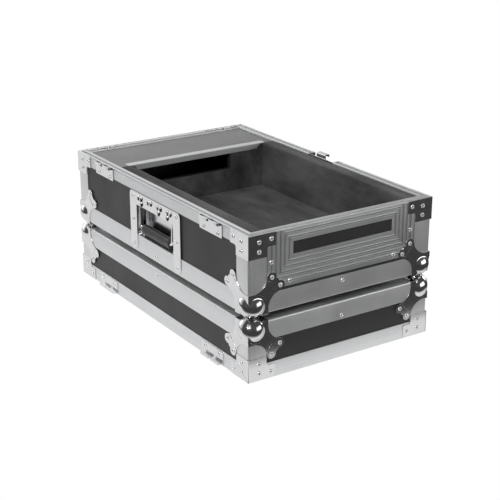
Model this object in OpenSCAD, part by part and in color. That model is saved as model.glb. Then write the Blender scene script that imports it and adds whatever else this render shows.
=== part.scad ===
// Mixer flight case, opened for use: the lid stands on the floor, open side
// down, and the tray that holds the mixer stands on it, ball corner on ball
// corner. Both halves are plywood boxes edged with aluminium extrusions,
// with riveted steel corners. Millimetres, +Z up, front face towards -Y.
// Origin: on the floor, under the middle of the case.

/* [Case] */
// Outside width across the front, over the edging
case_w = 380; // [350:5:430]
// Outside length from the front face to the rear face
case_d = 606; // [560:5:680]
// Height of the lid, from its rim edge to its closed face
lid_h = 104; // [98:1:130]
// Height of the tray, from its underside to its rim
tray_h = 139; // [134:1:165]
// Gap between the tray's underside and the lid's closed face
stack_gap = 12.5; // [11:0.5:15]

/* [Panels] */
// Thickness of the laminated plywood
ply_t = 9; // [7:0.5:11]
// Thickness of the aluminium edging
skin = 1.5; // [1:0.1:2]
// Thickness of the pressed steel fittings
steel_t = 1.2; // [0.8:0.1:1.6]

/* [Edging] */
// Height of the edge extrusion on the side faces
edge_h = 34.5; // [30:0.5:38]
// Width of the edge extrusion on the closed face
edge_w = 30; // [24:1:40]
// Width of the upright corner angles
corner_w = 35.5; // [30:0.5:40]
// Radius of the extrusions' outer corners
edge_r = 3; // [2:0.5:4]
// Height of the tray rim's outer face
tray_rim_h = 22; // [18:1:26]
// Height of the lid rim's outer face
lid_rim_h = 27.4; // [22:0.2:32]
// Width of the tray rim seen from above
rim_w = 15.5; // [14:0.5:18]
// Height of the rim's inner flange
rim_in_h = 16; // [12:1:20]
// Height of the narrow lip that the tray rim shows at the front
front_lip_h = 2.6; // [2.2:0.2:3.4]
// Width of the groove in the tray rim
groove_w = 6; // [5:0.5:7]
// Depth of the groove in the tray rim
groove_d = 3.6; // [3.2:0.2:4.4]
// Height of the tongue on the lid rim
tongue_h = 3; // [2:0.2:3]

/* [Corners] */
// Radius of the ball corners
ball_r = 22.5; // [20:0.5:24]
// How far the ball centres lie inside the faces
ball_in = 15; // [13:0.5:16.5]
// Nearer rivet of a ball corner's leg, measured from the case corner
leg_near = 45; // [42:1:50]
// Farther rivet of a ball corner's leg
leg_far = 61.5; // [58:0.5:66]
// Radius of the lobes round the leg's rivets
lobe_r = 8.6; // [7.5:0.1:9.5]
// Length of a corner brace's arm along the rim
brace_arm = 52; // [48:1:58]
// Height of a corner brace's arm
brace_arm_h = 23.5; // [20:0.5:26]
// Height of a corner brace's upright leg
brace_leg_h = 40.5; // [36:0.5:46]

/* [Front frame] */
// Gap under the ribbed front frame
frame_gap = 5; // [3:0.5:8]
// Side margin of the window in the front frame
window_side = 87; // [80:1:95]
// Bottom of the window, above the tray's underside
window_low = 93; // [86:1:98]
// Height of the window
window_h = 21.5; // [16:0.5:24]
// Spacing of the ribs on the frame
rib_pitch = 8.6; // [7:0.2:11]
// Width of the grooves between the ribs
rib_gap = 1.6; // [1:0.2:2.4]
// Depth of the grooves between the ribs
rib_depth = 0.7; // [0.4:0.1:0.9]

/* [Lining] */
// Thickness of the foam down the tray's sides
side_foam_t = 29; // [24:1:34]
// Thickness of the foam behind the front wall
front_foam_t = 10; // [6:1:20]
// Thickness of the foam facing on the divider
facing_t = 3; // [2:0.5:6]
// Thickness of the foam on the tray's floor
floor_foam_t = 38; // [25:1:45]
// Drop from the tray's rim to the top of the foam
foam_drop = 2; // [1:0.5:4]
// Thickness of the foam under the lid's top
lid_foam_t = 20; // [10:1:30]
// Thickness of the foam strips inside the lid's walls
lid_side_foam_t = 10; // [6:1:16]

/* [Rear cover] */
// Distance from the front face to the cover's front edge
cover_y = 463; // [440:1:500]
// Thickness of the cover panel
cover_t = 4; // [3:0.5:6]
// Drop from the tray's rim to the top of the cover
cover_drop = 4; // [4:0.5:7]
// Width of the angle strip's top flange
strip_w = 17; // [12:1:24]
// Height of the angle strip's front flange
strip_h = 10.5; // [9:0.5:14]
// Height of the wooden ledges that carry the cover
ledge_h = 12; // [8:1:18]
// Distance from the case's left side to the left end of the cable slot
slot_left = 66; // [55:1:100]
// Distance from the case's left side to the right end of the cable slot
slot_right = 264; // [200:1:290]
// Height of the cable slot
slot_h = 32; // [20:1:40]

/* [Handle] */
// Width of the handle plate
handle_w = 181; // [165:1:200]
// Width of the handle's dish
dish_w = 130; // [118:1:140]
// Depth of the handle's dish behind the face
dish_depth = 17; // [15:0.5:19]
// Height of the pivot above the tray's underside
pivot_z = 88; // [84:1:92]
// Distance of the pivot behind the face
pivot_y = 5; // [4.6:0.1:6]
// Distance from the pivot to the grip's middle
bail_drop = 39; // [34:0.5:40]
// Diameter of the bail's rod
bail_rod = 7; // [5:0.5:8]
// Length of the rubber grip
grip_len = 100; // [80:1:106]
// Height of the rubber grip
grip_h = 20; // [14:0.5:21]
// Depth of the rubber grip, front to back
grip_t = 13; // [10:0.5:15]

/* [Latch] */
// Width of the recess for the latch
latch_w = 75; // [70:1:80]
// Depth of the recess for the latch
latch_depth = 14; // [13.6:0.2:15]
// Height of the key's axis above the tray's underside
key_z = 97; // [95:0.5:99]
// Reach of the folding wings from the key's axis
wing_r = 32; // [26:0.5:33]
// Width of the hook
hook_w = 27; // [24:1:32]
// How far the raised hook stands above the rim
hook_rise = 8; // [6:0.5:14]
// Travel of the hook when the key turns half a turn
hook_travel = 12; // [8:1:12]

/* [Hinge halves] */
// Distance from each end of the case to a hinge half's middle
hinge_in = 112; // [105:1:125]
// Width of a hinge half's plate
hinge_w = 70; // [60:1:76]
// Spacing of the loops and of the hooks
loop_pitch = 31; // [26:1:32]

/* [Fasteners] */
// Radius of the rivet heads
rivet_r = 4.2; // [3:0.1:4.6]
// Height of the rivet heads
rivet_h = 1.8; // [1.2:0.1:2.2]

/* [Hidden] */

$fn = 48;
// Joint gap between pieces that butt or mitre
joint_gap = 0.2;
// Clearance round a piece set into a cut-out
fit_gap = 0.3;
// Running clearance of a pin in its bore, on the radius
pin_gap = 0.05;
// Overshoot of a cutting shape past the face that it cuts
cut = 1;

hw = case_w/2;
hd = case_d/2;
wall_t = skin + ply_t + skin;
// The lid's rim edge stands off the floor on the tongue
lid_z = tongue_h;
tray_z = lid_z + lid_h + stack_gap;
rim_web = 1.6;
rim_cap = groove_d + rim_web;
lip_w = 3;
tongue_w = groove_w - 0.8;
ball_gap = 0.4;
leg_root = 38;
leg_arc = 28;
foam_gap = 0.3;

// Runs its children along each side of the case in turn: $side 0 is the front,
// 1 the right, 2 the rear and 3 the left. There, x runs along the side, y runs
// inwards from the outer face, and $len is the side's length.
module each_side(sides = [0, 1, 2, 3]) {
    for (i = sides) {
        $side = i;
        $len = i % 2 == 0 ? case_w : case_d;
        rotate([0, 0, 90*i])
            translate([0, -(i % 2 == 0 ? hd : hw), 0]) children();
    }
}

// Runs its children at each corner, with x and y running inwards from it.
module each_corner() {
    for (sx = [-1, 1], sy = [-1, 1])
        translate([sx*hw, sy*hd, 0])
            mirror([sx > 0 ? 1 : 0, 0, 0])
                mirror([0, sy > 0 ? 1 : 0, 0]) children();
}

// The lid is a tray turned upside down, so both are drawn closed face down.
module as_lid() {
    translate([0, 0, lid_z + lid_h]) mirror([0, 0, 1]) children();
}

module as_tray() {
    translate([0, 0, tray_z]) children();
}

// A length of extrusion: the profile's x runs inwards and its y runs up. Its
// ends are mitred for the next side of the case.
module mitred_bar(len, depth = 60) {
    reach = len/2 - joint_gap/2;
    intersection() {
        rotate([90, 0, 90])
            translate([0, 0, -len/2]) linear_extrude(len) children();
        translate([0, 0, -50]) linear_extrude(400)
            polygon([[-reach, 0], [reach, 0],
                     [reach - depth, depth], [-reach + depth, depth]]);
    }
}

// The L section of the edging, with its outer corner rounded.
module angle_2d(a, b) {
    difference() {
        square([a, b]);
        translate([skin, skin]) square([a, b]);
        difference() {
            translate([-cut, -cut]) square(edge_r + cut);
            translate([edge_r, edge_r]) circle(edge_r);
        }
    }
}

// What is cut off every piece at a ball corner, so that it ends inside the
// hollow ball.
module corner_trim() {
    each_corner() difference() {
        translate([-cut, -cut, -cut]) cube(ball_in + cut);
        translate([ball_in, ball_in, ball_in])
            sphere(ball_r - steel_t - fit_gap);
    }
}

module floor_panel() {
    difference() {
        translate([skin - hw, skin - hd, skin])
            cube([case_w - 2*skin, case_d - 2*skin, ply_t]);
        corner_trim();
    }
}

// A side wall runs the whole length, and an end wall stands between them.
module wall(h, top_gap, inset) {
    translate([-$len/2 + inset, skin, skin + ply_t])
        cube([$len - 2*inset, ply_t, h - top_gap - skin - ply_t]);
}

module edge_bars() {
    difference() {
        each_side() mitred_bar($len) angle_2d(edge_w, edge_h);
        corner_trim();
    }
}

module corner_angles(h, rim_h) {
    each_corner() translate([0, 0, edge_h + joint_gap])
        linear_extrude(h - rim_h - edge_h - 2*joint_gap)
            angle_2d(corner_w, corner_w);
}

// Section of the tray's rim, from the rim plane down: two lips with a groove
// between them, over a U that straddles the plywood.
module tray_rim_2d(face_h) {
    translate([0, -face_h]) square([skin, face_h]);
    translate([0, -front_lip_h]) square([lip_w, front_lip_h]);
    translate([skin, -rim_cap]) square([lip_w - skin, rim_cap]);
    translate([skin, -rim_cap]) square([rim_w - skin, rim_web]);
    translate([lip_w + groove_w, -rim_cap])
        square([rim_w - lip_w - groove_w, rim_cap]);
    translate([wall_t - skin, -rim_in_h]) square([skin, rim_in_h - rim_web]);
}

// Section of the lid's rim, with the tongue that enters the tray's groove.
module lid_rim_2d() {
    translate([0, -lid_rim_h]) square([skin, lid_rim_h]);
    translate([0, -rim_web]) square([wall_t, rim_web]);
    translate([wall_t - skin, -rim_in_h]) square([skin, rim_in_h]);
    translate([lip_w + (groove_w - tongue_w)/2, -rim_web])
        square([tongue_w, tongue_h + rim_web]);
}

// One leg of a ball corner: waisted, with two lobes round its rivets.
module ball_leg_2d() {
    tip = leg_far + 0.7*lobe_r;
    bite = leg_root + leg_arc;
    shoulder = leg_near - lobe_r + 1.6;
    heart = (leg_near + leg_far)/2 + 0.45*lobe_r;
    difference() {
        union() {
            translate([-steel_t, -steel_t]) square(leg_root + steel_t);
            polygon([[0, 0], [leg_far, 0], [tip, shoulder],
                     [heart, heart], [shoulder, tip], [0, leg_far]]);
            translate([leg_near, leg_far]) circle(lobe_r);
            translate([leg_far, leg_near]) circle(lobe_r);
        }
        translate([bite, leg_near - lobe_r - leg_arc]) circle(leg_arc);
        translate([leg_near - lobe_r - leg_arc, bite]) circle(leg_arc);
        translate([leg_root, -2*steel_t]) square([60, leg_near/3]);
        translate([-2*steel_t, leg_root]) square([leg_near/3, 60]);
    }
}

// A hollow pressed ball with one leg on each of the corner's three faces.
module ball_corner() {
    b = ball_r;
    difference() {
        union() {
            intersection() {
                translate([ball_in, ball_in, ball_in]) sphere(ball_r);
                union() {
                    translate([-b, -b, -b]) cube(b + ball_in);
                    translate([-b, -b, -b]) cube([b, 4*b, 4*b]);
                    translate([-b, -b, -b]) cube([4*b, b, 4*b]);
                    translate([-b, -b, -b]) cube([4*b, 4*b, b]);
                }
            }
            difference() {
                union() {
                    translate([0, 0, -steel_t])
                        linear_extrude(steel_t) ball_leg_2d();
                    rotate([90, 0, 0]) linear_extrude(steel_t) ball_leg_2d();
                    rotate([90, 0, 90]) translate([0, 0, -steel_t])
                        linear_extrude(steel_t) ball_leg_2d();
                }
                // The legs stop where the ball closes the corner.
                translate([-b, -b, -b]) cube(b + ball_in);
            }
        }
        translate([ball_in, ball_in, ball_in]) sphere(ball_r - steel_t);
    }
}

// A brace folded round a rim corner, drawn from the rim plane down.
module brace_face_2d() {
    fillet = 5;
    translate([-steel_t, -brace_leg_h])
        square([corner_w - 0.5 + steel_t, brace_leg_h - 0.4]);
    translate([-steel_t, -brace_arm_h])
        square([brace_arm + steel_t, brace_arm_h - 0.4]);
    difference() {
        translate([corner_w - 0.5, -brace_arm_h - fillet]) square(fillet);
        translate([corner_w - 0.5 + fillet, -brace_arm_h - fillet])
            circle(fillet);
    }
}

module braces(h) {
    each_corner() translate([0, 0, h]) {
        rotate([90, 0, 0]) linear_extrude(steel_t) brace_face_2d();
        rotate([90, 0, 90]) translate([0, 0, -steel_t])
            linear_extrude(steel_t) brace_face_2d();
    }
}

// A domed head that sits on a side face, at x along the face and z up it.
module rivet_at(x, z, stand = 0) {
    dome_r = (rivet_r*rivet_r + rivet_h*rivet_h)/(2*rivet_h);
    translate([x, -stand, z]) rotate([90, 0, 0]) intersection() {
        translate([0, 0, rivet_h - dome_r]) sphere(dome_r);
        cylinder(r = rivet_r + cut, h = rivet_h + cut);
    }
}

// Rivets that both halves have: six on each ball corner, six on each brace
// and one in the middle of each side's edging.
module shared_rivets(h, mid_z) {
    for (p = [[leg_near, leg_far], [leg_far, leg_near]]) {
        each_side() for (m = [-1, 1])
            rivet_at(m*($len/2 - p[0]), p[1], steel_t);
        each_corner() mirror([0, 1, 0]) rotate([90, 0, 0])
            rivet_at(p[0], p[1], steel_t);
    }
    rows = [[20, brace_arm_h - 10.5], [brace_arm - 8.5, brace_arm_h - 12.7],
            [20, brace_leg_h - 11]];
    each_side() for (p = rows, m = [-1, 1])
        rivet_at(m*($len/2 - p[0]), h - p[1], steel_t);
    each_side() rivet_at(0, $side % 2 == 0 ? mid_z : edge_h/3);
}

// Lid, drawn closed face down

module lid_top_panel() {
    color([0.16, 0.16, 0.17]) as_lid() floor_panel();
}

module lid_side_walls() {
    color([0.16, 0.16, 0.17]) as_lid() difference() {
        each_side([1, 3]) wall(lid_h, rim_web, skin);
        corner_trim();
        each_side([1]) keeper_hole();
    }
}

module lid_end_walls() {
    color([0.16, 0.16, 0.17]) as_lid() difference() {
        each_side([0, 2]) wall(lid_h, rim_web, skin + ply_t);
        corner_trim();
    }
}

module lid_edge_extrusions() {
    color([0.72, 0.73, 0.75]) as_lid() edge_bars();
}

module lid_corner_angles() {
    color([0.74, 0.75, 0.77]) as_lid() corner_angles(lid_h, lid_rim_h);
}

module lid_rim_extrusions() {
    color([0.76, 0.77, 0.79]) as_lid() difference() {
        each_side() translate([0, 0, lid_h]) mitred_bar($len) lid_rim_2d();
        each_side([1]) keeper_hole();
    }
}

module lid_ball_corners() {
    color([0.82, 0.83, 0.86]) difference() {
        as_lid() each_corner() ball_corner();
        as_tray() each_corner()
            translate([ball_in, ball_in, ball_in]) sphere(ball_r + ball_gap);
    }
}

module lid_corner_braces() {
    color([0.80, 0.81, 0.84]) as_lid() braces(lid_h);
}

// The lid's half of each take-apart hinge: a plate with two curled hooks.
hook_curl = 8;
curl_w = loop_pitch - 7;
curl_h = 5.5;
module hinge_hooks() {
    z0 = lid_h - lid_rim_h + 2;
    for (m = [-1, 1]) translate([m*(hd - hinge_in), 0, 0]) {
        translate([-hinge_w/2, -steel_t, z0])
            cube([hinge_w, steel_t, lid_h - 0.5 - z0]);
        for (k = [-1, 1]) translate([(k*loop_pitch - curl_w)/2, 0, lid_h - 0.5])
            rotate([90, 0, 90]) linear_extrude(curl_w)
                polygon([[-steel_t, 0], [-hook_curl, 0], [-hook_curl, -curl_h],
                         [-hook_curl + 1.6, -curl_h], [-hook_curl + 1.6, -1.6],
                         [-steel_t, -1.6]]);
    }
}

module lid_hinge_hooks() {
    color([0.80, 0.81, 0.84]) as_lid() each_side([3]) hinge_hooks();
}

// The recess that the latch hook reaches into, in the lid's right side.
keeper_h = 30;
module keeper_hole() {
    translate([-latch_w/2 - steel_t - fit_gap, -cut, lid_h - keeper_h])
        cube([latch_w + 2*(steel_t + fit_gap), wall_t + 2*cut,
              keeper_h + tongue_h + cut]);
}

module lid_latch_keeper() {
    color([0.80, 0.81, 0.84]) as_lid() each_side([1]) {
        low = lid_h - keeper_h + fit_gap;
        deep = wall_t - steel_t;
        difference() {
            union() {
                translate([-latch_w/2 - 12, -steel_t, low - 9])
                    cube([latch_w + 24, steel_t, keeper_h + 8.5]);
                translate([-latch_w/2 - steel_t, 0, low])
                    cube([latch_w + 2*steel_t, wall_t, keeper_h - 0.5]);
            }
            translate([-latch_w/2, -steel_t - cut, low + steel_t])
                cube([latch_w, deep + steel_t + cut, keeper_h + cut]);
        }
        // The lip that the hook pulls on
        translate([-hook_w/2 - 4, deep - 8, lid_h - 12])
            cube([hook_w + 8, 8, 2]);
    }
}

module lid_top_foam() {
    z = skin + ply_t;
    color([0.10, 0.10, 0.11]) as_lid()
        translate([wall_t - hw + foam_gap, wall_t - hd + foam_gap, z])
            cube([case_w - 2*(wall_t + foam_gap),
                  case_d - 2*(wall_t + foam_gap), lid_foam_t]);
}

module lid_side_foam() {
    low = skin + ply_t + lid_foam_t;
    color([0.10, 0.10, 0.11]) as_lid() each_side() {
        run = $len - 2*wall_t - ($side % 2 == 0 ? 2*lid_side_foam_t : 0);
        translate([-run/2 + foam_gap, wall_t + foam_gap, low])
            cube([run - 2*foam_gap, lid_side_foam_t - foam_gap,
                  lid_h - low - rim_in_h/2]);
    }
}

module lid_rivets() {
    color([0.86, 0.87, 0.89]) as_lid() {
        shared_rivets(lid_h, edge_h*0.78);
        each_side([3]) for (m = [-1, 1], k = [-1, 1])
            rivet_at(m*(hd - hinge_in) + k*(hinge_w/2 - 13),
                     lid_h - lid_rim_h + 8, steel_t);
        each_side([1]) for (k = [-1, 1])
            rivet_at(k*(latch_w/2 + 6), lid_h - keeper_h - 3, steel_t);
    }
}

// Tray, drawn closed face down

module tray_floor_panel() {
    color([0.16, 0.16, 0.17]) as_tray() floor_panel();
}

// The handle's dish, from its lower edge just above the edge extrusion
dish_low = edge_h + fit_gap;
dish_high = pivot_z + 22;
module dish_block(grow) {
    translate([-dish_w/2 - grow, 0, dish_low - grow + steel_t])
        cube([dish_w + 2*grow, dish_depth + grow,
              dish_high - dish_low - 2*steel_t + 2*grow]);
}

module tray_left_wall() {
    color([0.17, 0.17, 0.18]) as_tray() difference() {
        each_side([3]) wall(tray_h, rim_cap, skin);
        corner_trim();
        each_side([3]) dish_block(steel_t + fit_gap/2);
    }
}

latch_low = key_z - wing_r - 3;
module latch_hole(extra = 0) {
    translate([-latch_w/2 - steel_t - fit_gap, -cut,
               latch_low - steel_t - fit_gap])
        cube([latch_w + 2*(steel_t + fit_gap), wall_t + 2*cut + extra,
              tray_h]);
}

module tray_right_wall() {
    color([0.17, 0.17, 0.18]) as_tray() difference() {
        each_side([1]) wall(tray_h, rim_cap, skin);
        corner_trim();
        each_side([1]) latch_hole();
    }
}

module tray_front_wall() {
    color([0.16, 0.16, 0.17]) as_tray() difference() {
        each_side([0]) wall(tray_h, rim_cap, skin + ply_t);
        corner_trim();
    }
}

module tray_rear_wall() {
    color([0.16, 0.16, 0.17]) as_tray() difference() {
        each_side([2]) wall(tray_h, rim_cap, skin + ply_t);
        corner_trim();
    }
}

module tray_edge_extrusions() {
    color([0.72, 0.73, 0.75]) as_tray() edge_bars();
}

module tray_corner_angles() {
    color([0.74, 0.75, 0.77]) as_tray() corner_angles(tray_h, tray_rim_h);
}

// The front length has no outer face, because the ribbed frame stands there.
module tray_rim_extrusions() {
    color([0.78, 0.79, 0.81]) as_tray() difference() {
        each_side() translate([0, 0, tray_h]) mitred_bar($len)
            tray_rim_2d($side == 0 ? front_lip_h : tray_rim_h);
        each_side([1]) latch_hole(rim_w);
    }
}

module tray_ball_corners() {
    color([0.82, 0.83, 0.86]) as_tray() each_corner() ball_corner();
}

module tray_corner_braces() {
    color([0.80, 0.81, 0.84]) as_tray() braces(tray_h);
}

// The tray's half of each take-apart hinge: a plate with two raised loops.
loop_w = loop_pitch - 3;
loop_out = 5.6;
loop_h = 5;
module tray_hinge_loops() {
    color([0.80, 0.81, 0.84]) as_tray() each_side([3])
        for (m = [-1, 1]) translate([m*(hd - hinge_in), 0, tray_h]) {
            translate([-hinge_w/2, -steel_t, -tray_rim_h - 4])
                cube([hinge_w, steel_t, tray_rim_h + 3.5]);
            for (k = [-1, 1]) translate([k*loop_pitch/2, 0, -0.5 - loop_h])
                linear_extrude(loop_h) difference() {
                    translate([-loop_w/2, -steel_t - loop_out])
                        square([loop_w, loop_out]);
                    translate([-loop_w/2 + steel_t, -loop_out])
                        square([loop_w - 2*steel_t, loop_out]);
                }
        }
}

// Two small fittings set on the inner edge of the rear rim.
module rim_keepers() {
    keeper_w = 46;
    color([0.80, 0.81, 0.84]) as_tray() each_side([2])
        for (m = [-1, 1])
            translate([m*(hw - 64) - keeper_w/2, lip_w + 0.3,
                       tray_h - groove_d])
                difference() {
                    cube([keeper_w, groove_w - 0.6, groove_d + 1.4]);
                    for (k = [0.12, 0.46])
                        translate([keeper_w*k, -cut, 1.2])
                            cube([keeper_w*0.2, groove_w + 2*cut, groove_d]);
                }
}

// Front frame: ribbed aluminium, mitred round a window onto the front wall
frame_low = edge_h + frame_gap;
frame_high = tray_h - front_lip_h - joint_gap;
window_high = window_low + window_h;
frame_side = corner_w + 1;
top_run = frame_high - window_high;

// A ribbed strip's section: x across the strip, y inwards from its face.
module ribbed_2d(w) {
    difference() {
        square([w, skin]);
        for (x = [rib_pitch : rib_pitch : w - rib_gap])
            translate([x - rib_gap/2, -cut]) square([rib_gap, rib_depth + cut]);
    }
}

module ribbed_strip_up(x0, w) {
    translate([x0, 0, frame_low - cut])
        linear_extrude(frame_high - frame_low + 2*cut) ribbed_2d(w);
}

module ribbed_strip_across(z0, w) {
    translate([-hw, 0, z0 + w]) rotate([0, 90, 0]) linear_extrude(case_w)
        ribbed_2d(w);
}

// A prism through the face whose outline is given from the case's left edge.
module face_prism(points) {
    translate([-hw, skin + cut, 0]) rotate([90, 0, 0])
        linear_extrude(skin + 2*cut) polygon(points);
}

module frame_top_rail() {
    left = window_side - top_run + joint_gap;
    color([0.66, 0.67, 0.69]) as_tray() each_side([0]) intersection() {
        ribbed_strip_across(window_high, top_run);
        face_prism([[left, frame_high], [case_w - left, frame_high],
                    [case_w - window_side - joint_gap, window_high],
                    [window_side + joint_gap, window_high]]);
    }
}

module frame_bottom_rail() {
    g = joint_gap;
    color([0.66, 0.67, 0.69]) as_tray() each_side([0]) intersection() {
        ribbed_strip_across(frame_low, window_low - frame_low);
        face_prism([[frame_side + g, frame_low],
                    [case_w - frame_side - g, frame_low],
                    [case_w - window_side - g, window_low],
                    [window_side + g, window_low]]);
    }
}

module frame_stiles() {
    g = joint_gap;
    color([0.64, 0.65, 0.67]) as_tray() each_side([0])
        for (m = [0, 1]) mirror([m, 0, 0]) intersection() {
            ribbed_strip_up(frame_side - hw, window_side - frame_side);
            face_prism([[frame_side, frame_low + g], [window_side, window_low + g],
                        [window_side, window_high - g],
                        [window_side - top_run, frame_high],
                        [frame_side, frame_high]]);
        }
}

// Lining and rear cover

cover_top = tray_h - cover_drop;
cover_under = cover_top - cover_t;
cover_side = rim_w + 0.7;
cover_back = case_d - rim_w - 1.5;
foam_low = skin + ply_t;
foam_high = tray_h - rim_cap - foam_gap;
bay_half = hw - wall_t - side_foam_t;
bay_front = wall_t + front_foam_t;
facing_y = cover_y + skin;
divider_y = facing_y + facing_t;
divider_back = divider_y + ply_t;

// A block of the lining, from its lowest to its highest corner, with x counted
// from the middle and y from the front face.
module block(low, high) {
    translate([low[0], low[1] - hd, low[2]]) cube(high - low);
}

// Side foam: under the rim's inner lip at the wall, and level with the rim
// beside it. Its rear end is cut down for the strip on the divider.
module side_foam_block() {
    top = tray_h - foam_drop;
    front = wall_t + foam_gap;
    back = divider_y - foam_gap;
    difference() {
        union() {
            block([wall_t + foam_gap - hw, front, foam_low],
                  [-bay_half, back, foam_high]);
            block([rim_w + foam_gap - hw, rim_w + foam_gap, foam_low],
                  [-bay_half, back, top]);
        }
        block([-hw, cover_y - foam_gap, cover_under - foam_gap],
              [0, case_d, tray_h]);
    }
}

module side_foam() {
    color([0.13, 0.13, 0.14]) as_tray() difference() {
        for (m = [0, 1]) mirror([m, 0, 0]) side_foam_block();
        each_side([3]) dish_block(steel_t + foam_gap);
        each_side([1]) translate([-latch_w/2 - steel_t - foam_gap, 0, 0])
            cube([latch_w + 2*(steel_t + foam_gap),
                  latch_depth + steel_t + foam_gap, tray_h]);
    }
}

module front_foam() {
    color([0.13, 0.13, 0.14]) as_tray()
        block([foam_gap - bay_half, wall_t + foam_gap, foam_low],
              [bay_half - foam_gap, bay_front, foam_high]);
}

module floor_foam() {
    color([0.14, 0.14, 0.15]) as_tray()
        block([foam_gap - bay_half, bay_front + foam_gap, foam_low],
              [bay_half - foam_gap, facing_y - foam_gap,
               foam_low + floor_foam_t]);
}

// The slot lets the mixer's cables through, just under the angle strip.
module cable_slot(grow = 0) {
    top = cover_top + skin - strip_h;
    block([slot_left - hw - grow, facing_y - cut, top - slot_h - grow],
          [slot_right - hw + grow, divider_back + cut, top]);
}

module divider_wall() {
    side = hw - wall_t - fit_gap;
    color([0.18, 0.18, 0.19]) as_tray() difference() {
        block([-side, divider_y, foam_low],
              [side, divider_back, cover_under]);
        cable_slot();
    }
}

module divider_facing() {
    color([0.13, 0.13, 0.14]) as_tray() difference() {
        block([foam_gap - bay_half, facing_y, foam_low],
              [bay_half - foam_gap, divider_y, cover_under]);
        cable_slot(0.5);
    }
}

// Wooden ledges round the rear compartment, on which the cover lies.
module cover_ledges() {
    low = cover_under - ledge_h;
    color([0.45, 0.36, 0.26]) as_tray() {
        for (m = [0, 1]) mirror([m, 0, 0])
            block([wall_t - hw, divider_back, low],
                  [rim_w + ledge_h - hw, case_d - wall_t, cover_under]);
        block([rim_w + ledge_h + joint_gap - hw, case_d - rim_w - ledge_h, low],
              [hw - rim_w - ledge_h - joint_gap, case_d - wall_t, cover_under]);
    }
}

module cover_panel() {
    color([0.38, 0.38, 0.39]) as_tray()
        block([cover_side - hw, facing_y, cover_under],
              [hw - cover_side, cover_back, cover_top]);
}

// Angle strip over the cover's front edge. The ends of its front leg are cut
// back to a curve.
module cover_strip() {
    end_r = 19;
    low = cover_top + skin - strip_h;
    half = bay_half - foam_gap;
    color([0.80, 0.81, 0.83]) as_tray() translate([0, cover_y - hd, 0]) {
        translate([-half - 6, 0, cover_top])
            cube([2*half + 12, strip_w, skin]);
        difference() {
            translate([-half, 0, low]) cube([2*half, skin, cover_top - low]);
            for (m = [-1, 1])
                translate([m*(half + 4), -cut, low - 8]) rotate([-90, 0, 0])
                    cylinder(r = end_r, h = skin + 2*cut);
        }
    }
}

// Recessed handle on the left side

dish_rim = 20;
module handle_plate() {
    strip_low = 4;
    strip_in = dish_w/2 + steel_t;
    strip = handle_w/2 - strip_in;
    band_low = pivot_z + bail_rod/2 + 1;
    band_high = tray_h - tray_rim_h - 0.5;
    color([0.80, 0.81, 0.84]) as_tray() each_side([3])
        rotate([90, 0, 0]) linear_extrude(steel_t) {
            for (m = [-1, 1]) translate([m*(strip_in + strip/2), 0]) {
                translate([-strip/2, strip_low + strip/2])
                    square([strip, band_high - strip_low - strip/2 - 8]);
                translate([0, strip_low + strip/2]) circle(strip/2);
            }
            translate([-handle_w/2 + 8, band_low])
                square([handle_w - 16, band_high - band_low]);
            for (m = [-1, 1])
                translate([m*(handle_w/2 - 8), band_high - 8]) circle(8);
        }
}

stub_r = bail_rod/2 - 0.5;
module handle_dish() {
    color([0.70, 0.71, 0.73]) as_tray() each_side([3]) difference() {
        dish_block(steel_t);
        translate([0, -cut, 0]) dish_block(0);
        translate([0, pivot_y, pivot_z]) rotate([0, 90, 0])
            cylinder(r = stub_r + pin_gap, h = case_w, center = true);
    }
}

arm_x = dish_w/2 - bail_rod/2 - 2;
module handle_bail() {
    bend_r = 8;
    r = bail_rod/2;
    color([0.82, 0.83, 0.86]) as_tray() each_side([3])
        translate([0, pivot_y, pivot_z]) for (m = [0, 1]) mirror([m, 0, 0]) {
            // Pivot stub, arm, bend and half of the crossbar
            translate([arm_x, 0, 0]) rotate([0, 90, 0])
                cylinder(r = stub_r, h = dish_w/2 + steel_t - arm_x);
            translate([arm_x, 0, 0]) sphere(r);
            translate([arm_x, 0, -bail_drop + bend_r])
                cylinder(r = r, h = bail_drop - bend_r);
            translate([arm_x - bend_r, 0, -bail_drop + bend_r])
                rotate([90, 0, 0]) rotate([0, 0, -90])
                    rotate_extrude(angle = 90) translate([bend_r, 0]) circle(r);
            translate([0, 0, -bail_drop]) rotate([0, 90, 0])
                cylinder(r = r, h = arm_x - bend_r);
        }
}

module handle_grip() {
    side = (grip_h - grip_t)/2;
    color([0.10, 0.10, 0.10]) as_tray() each_side([3])
        translate([-grip_len/2, pivot_y, pivot_z - bail_drop])
            rotate([90, 0, 90]) linear_extrude(grip_len) difference() {
                union() {
                    for (m = [-1, 1]) translate([0, m*side]) circle(grip_t/2);
                    square([grip_t, 2*side], center = true);
                }
                circle(bail_rod/2);
            }
}

// Butterfly latch on the right side

key_r = 13;
post_r = 3;
key_front = 5;
key_back = latch_depth - 3.6;
wing_hinge = 6;
barrel_r = 1.85;
wing_t = 2;
hook_t = 2;

module latch_dish() {
    flange = 13;
    low = latch_low - steel_t;
    color([0.80, 0.81, 0.84]) as_tray() each_side([1]) {
        difference() {
            union() {
                translate([-latch_w/2 - flange, -steel_t, low - flange])
                    cube([latch_w + 2*flange, steel_t,
                          tray_h - low + flange - 0.5]);
                translate([-latch_w/2 - steel_t, 0, low])
                    cube([latch_w + 2*steel_t, latch_depth + steel_t,
                          tray_h - 0.5 - low]);
            }
            translate([-latch_w/2, -steel_t - cut, latch_low])
                cube([latch_w, latch_depth + steel_t + cut, tray_h]);
        }
        translate([0, latch_depth, key_z]) rotate([90, 0, 0])
            cylinder(r = post_r, h = latch_depth - key_front);
    }
}

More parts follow.
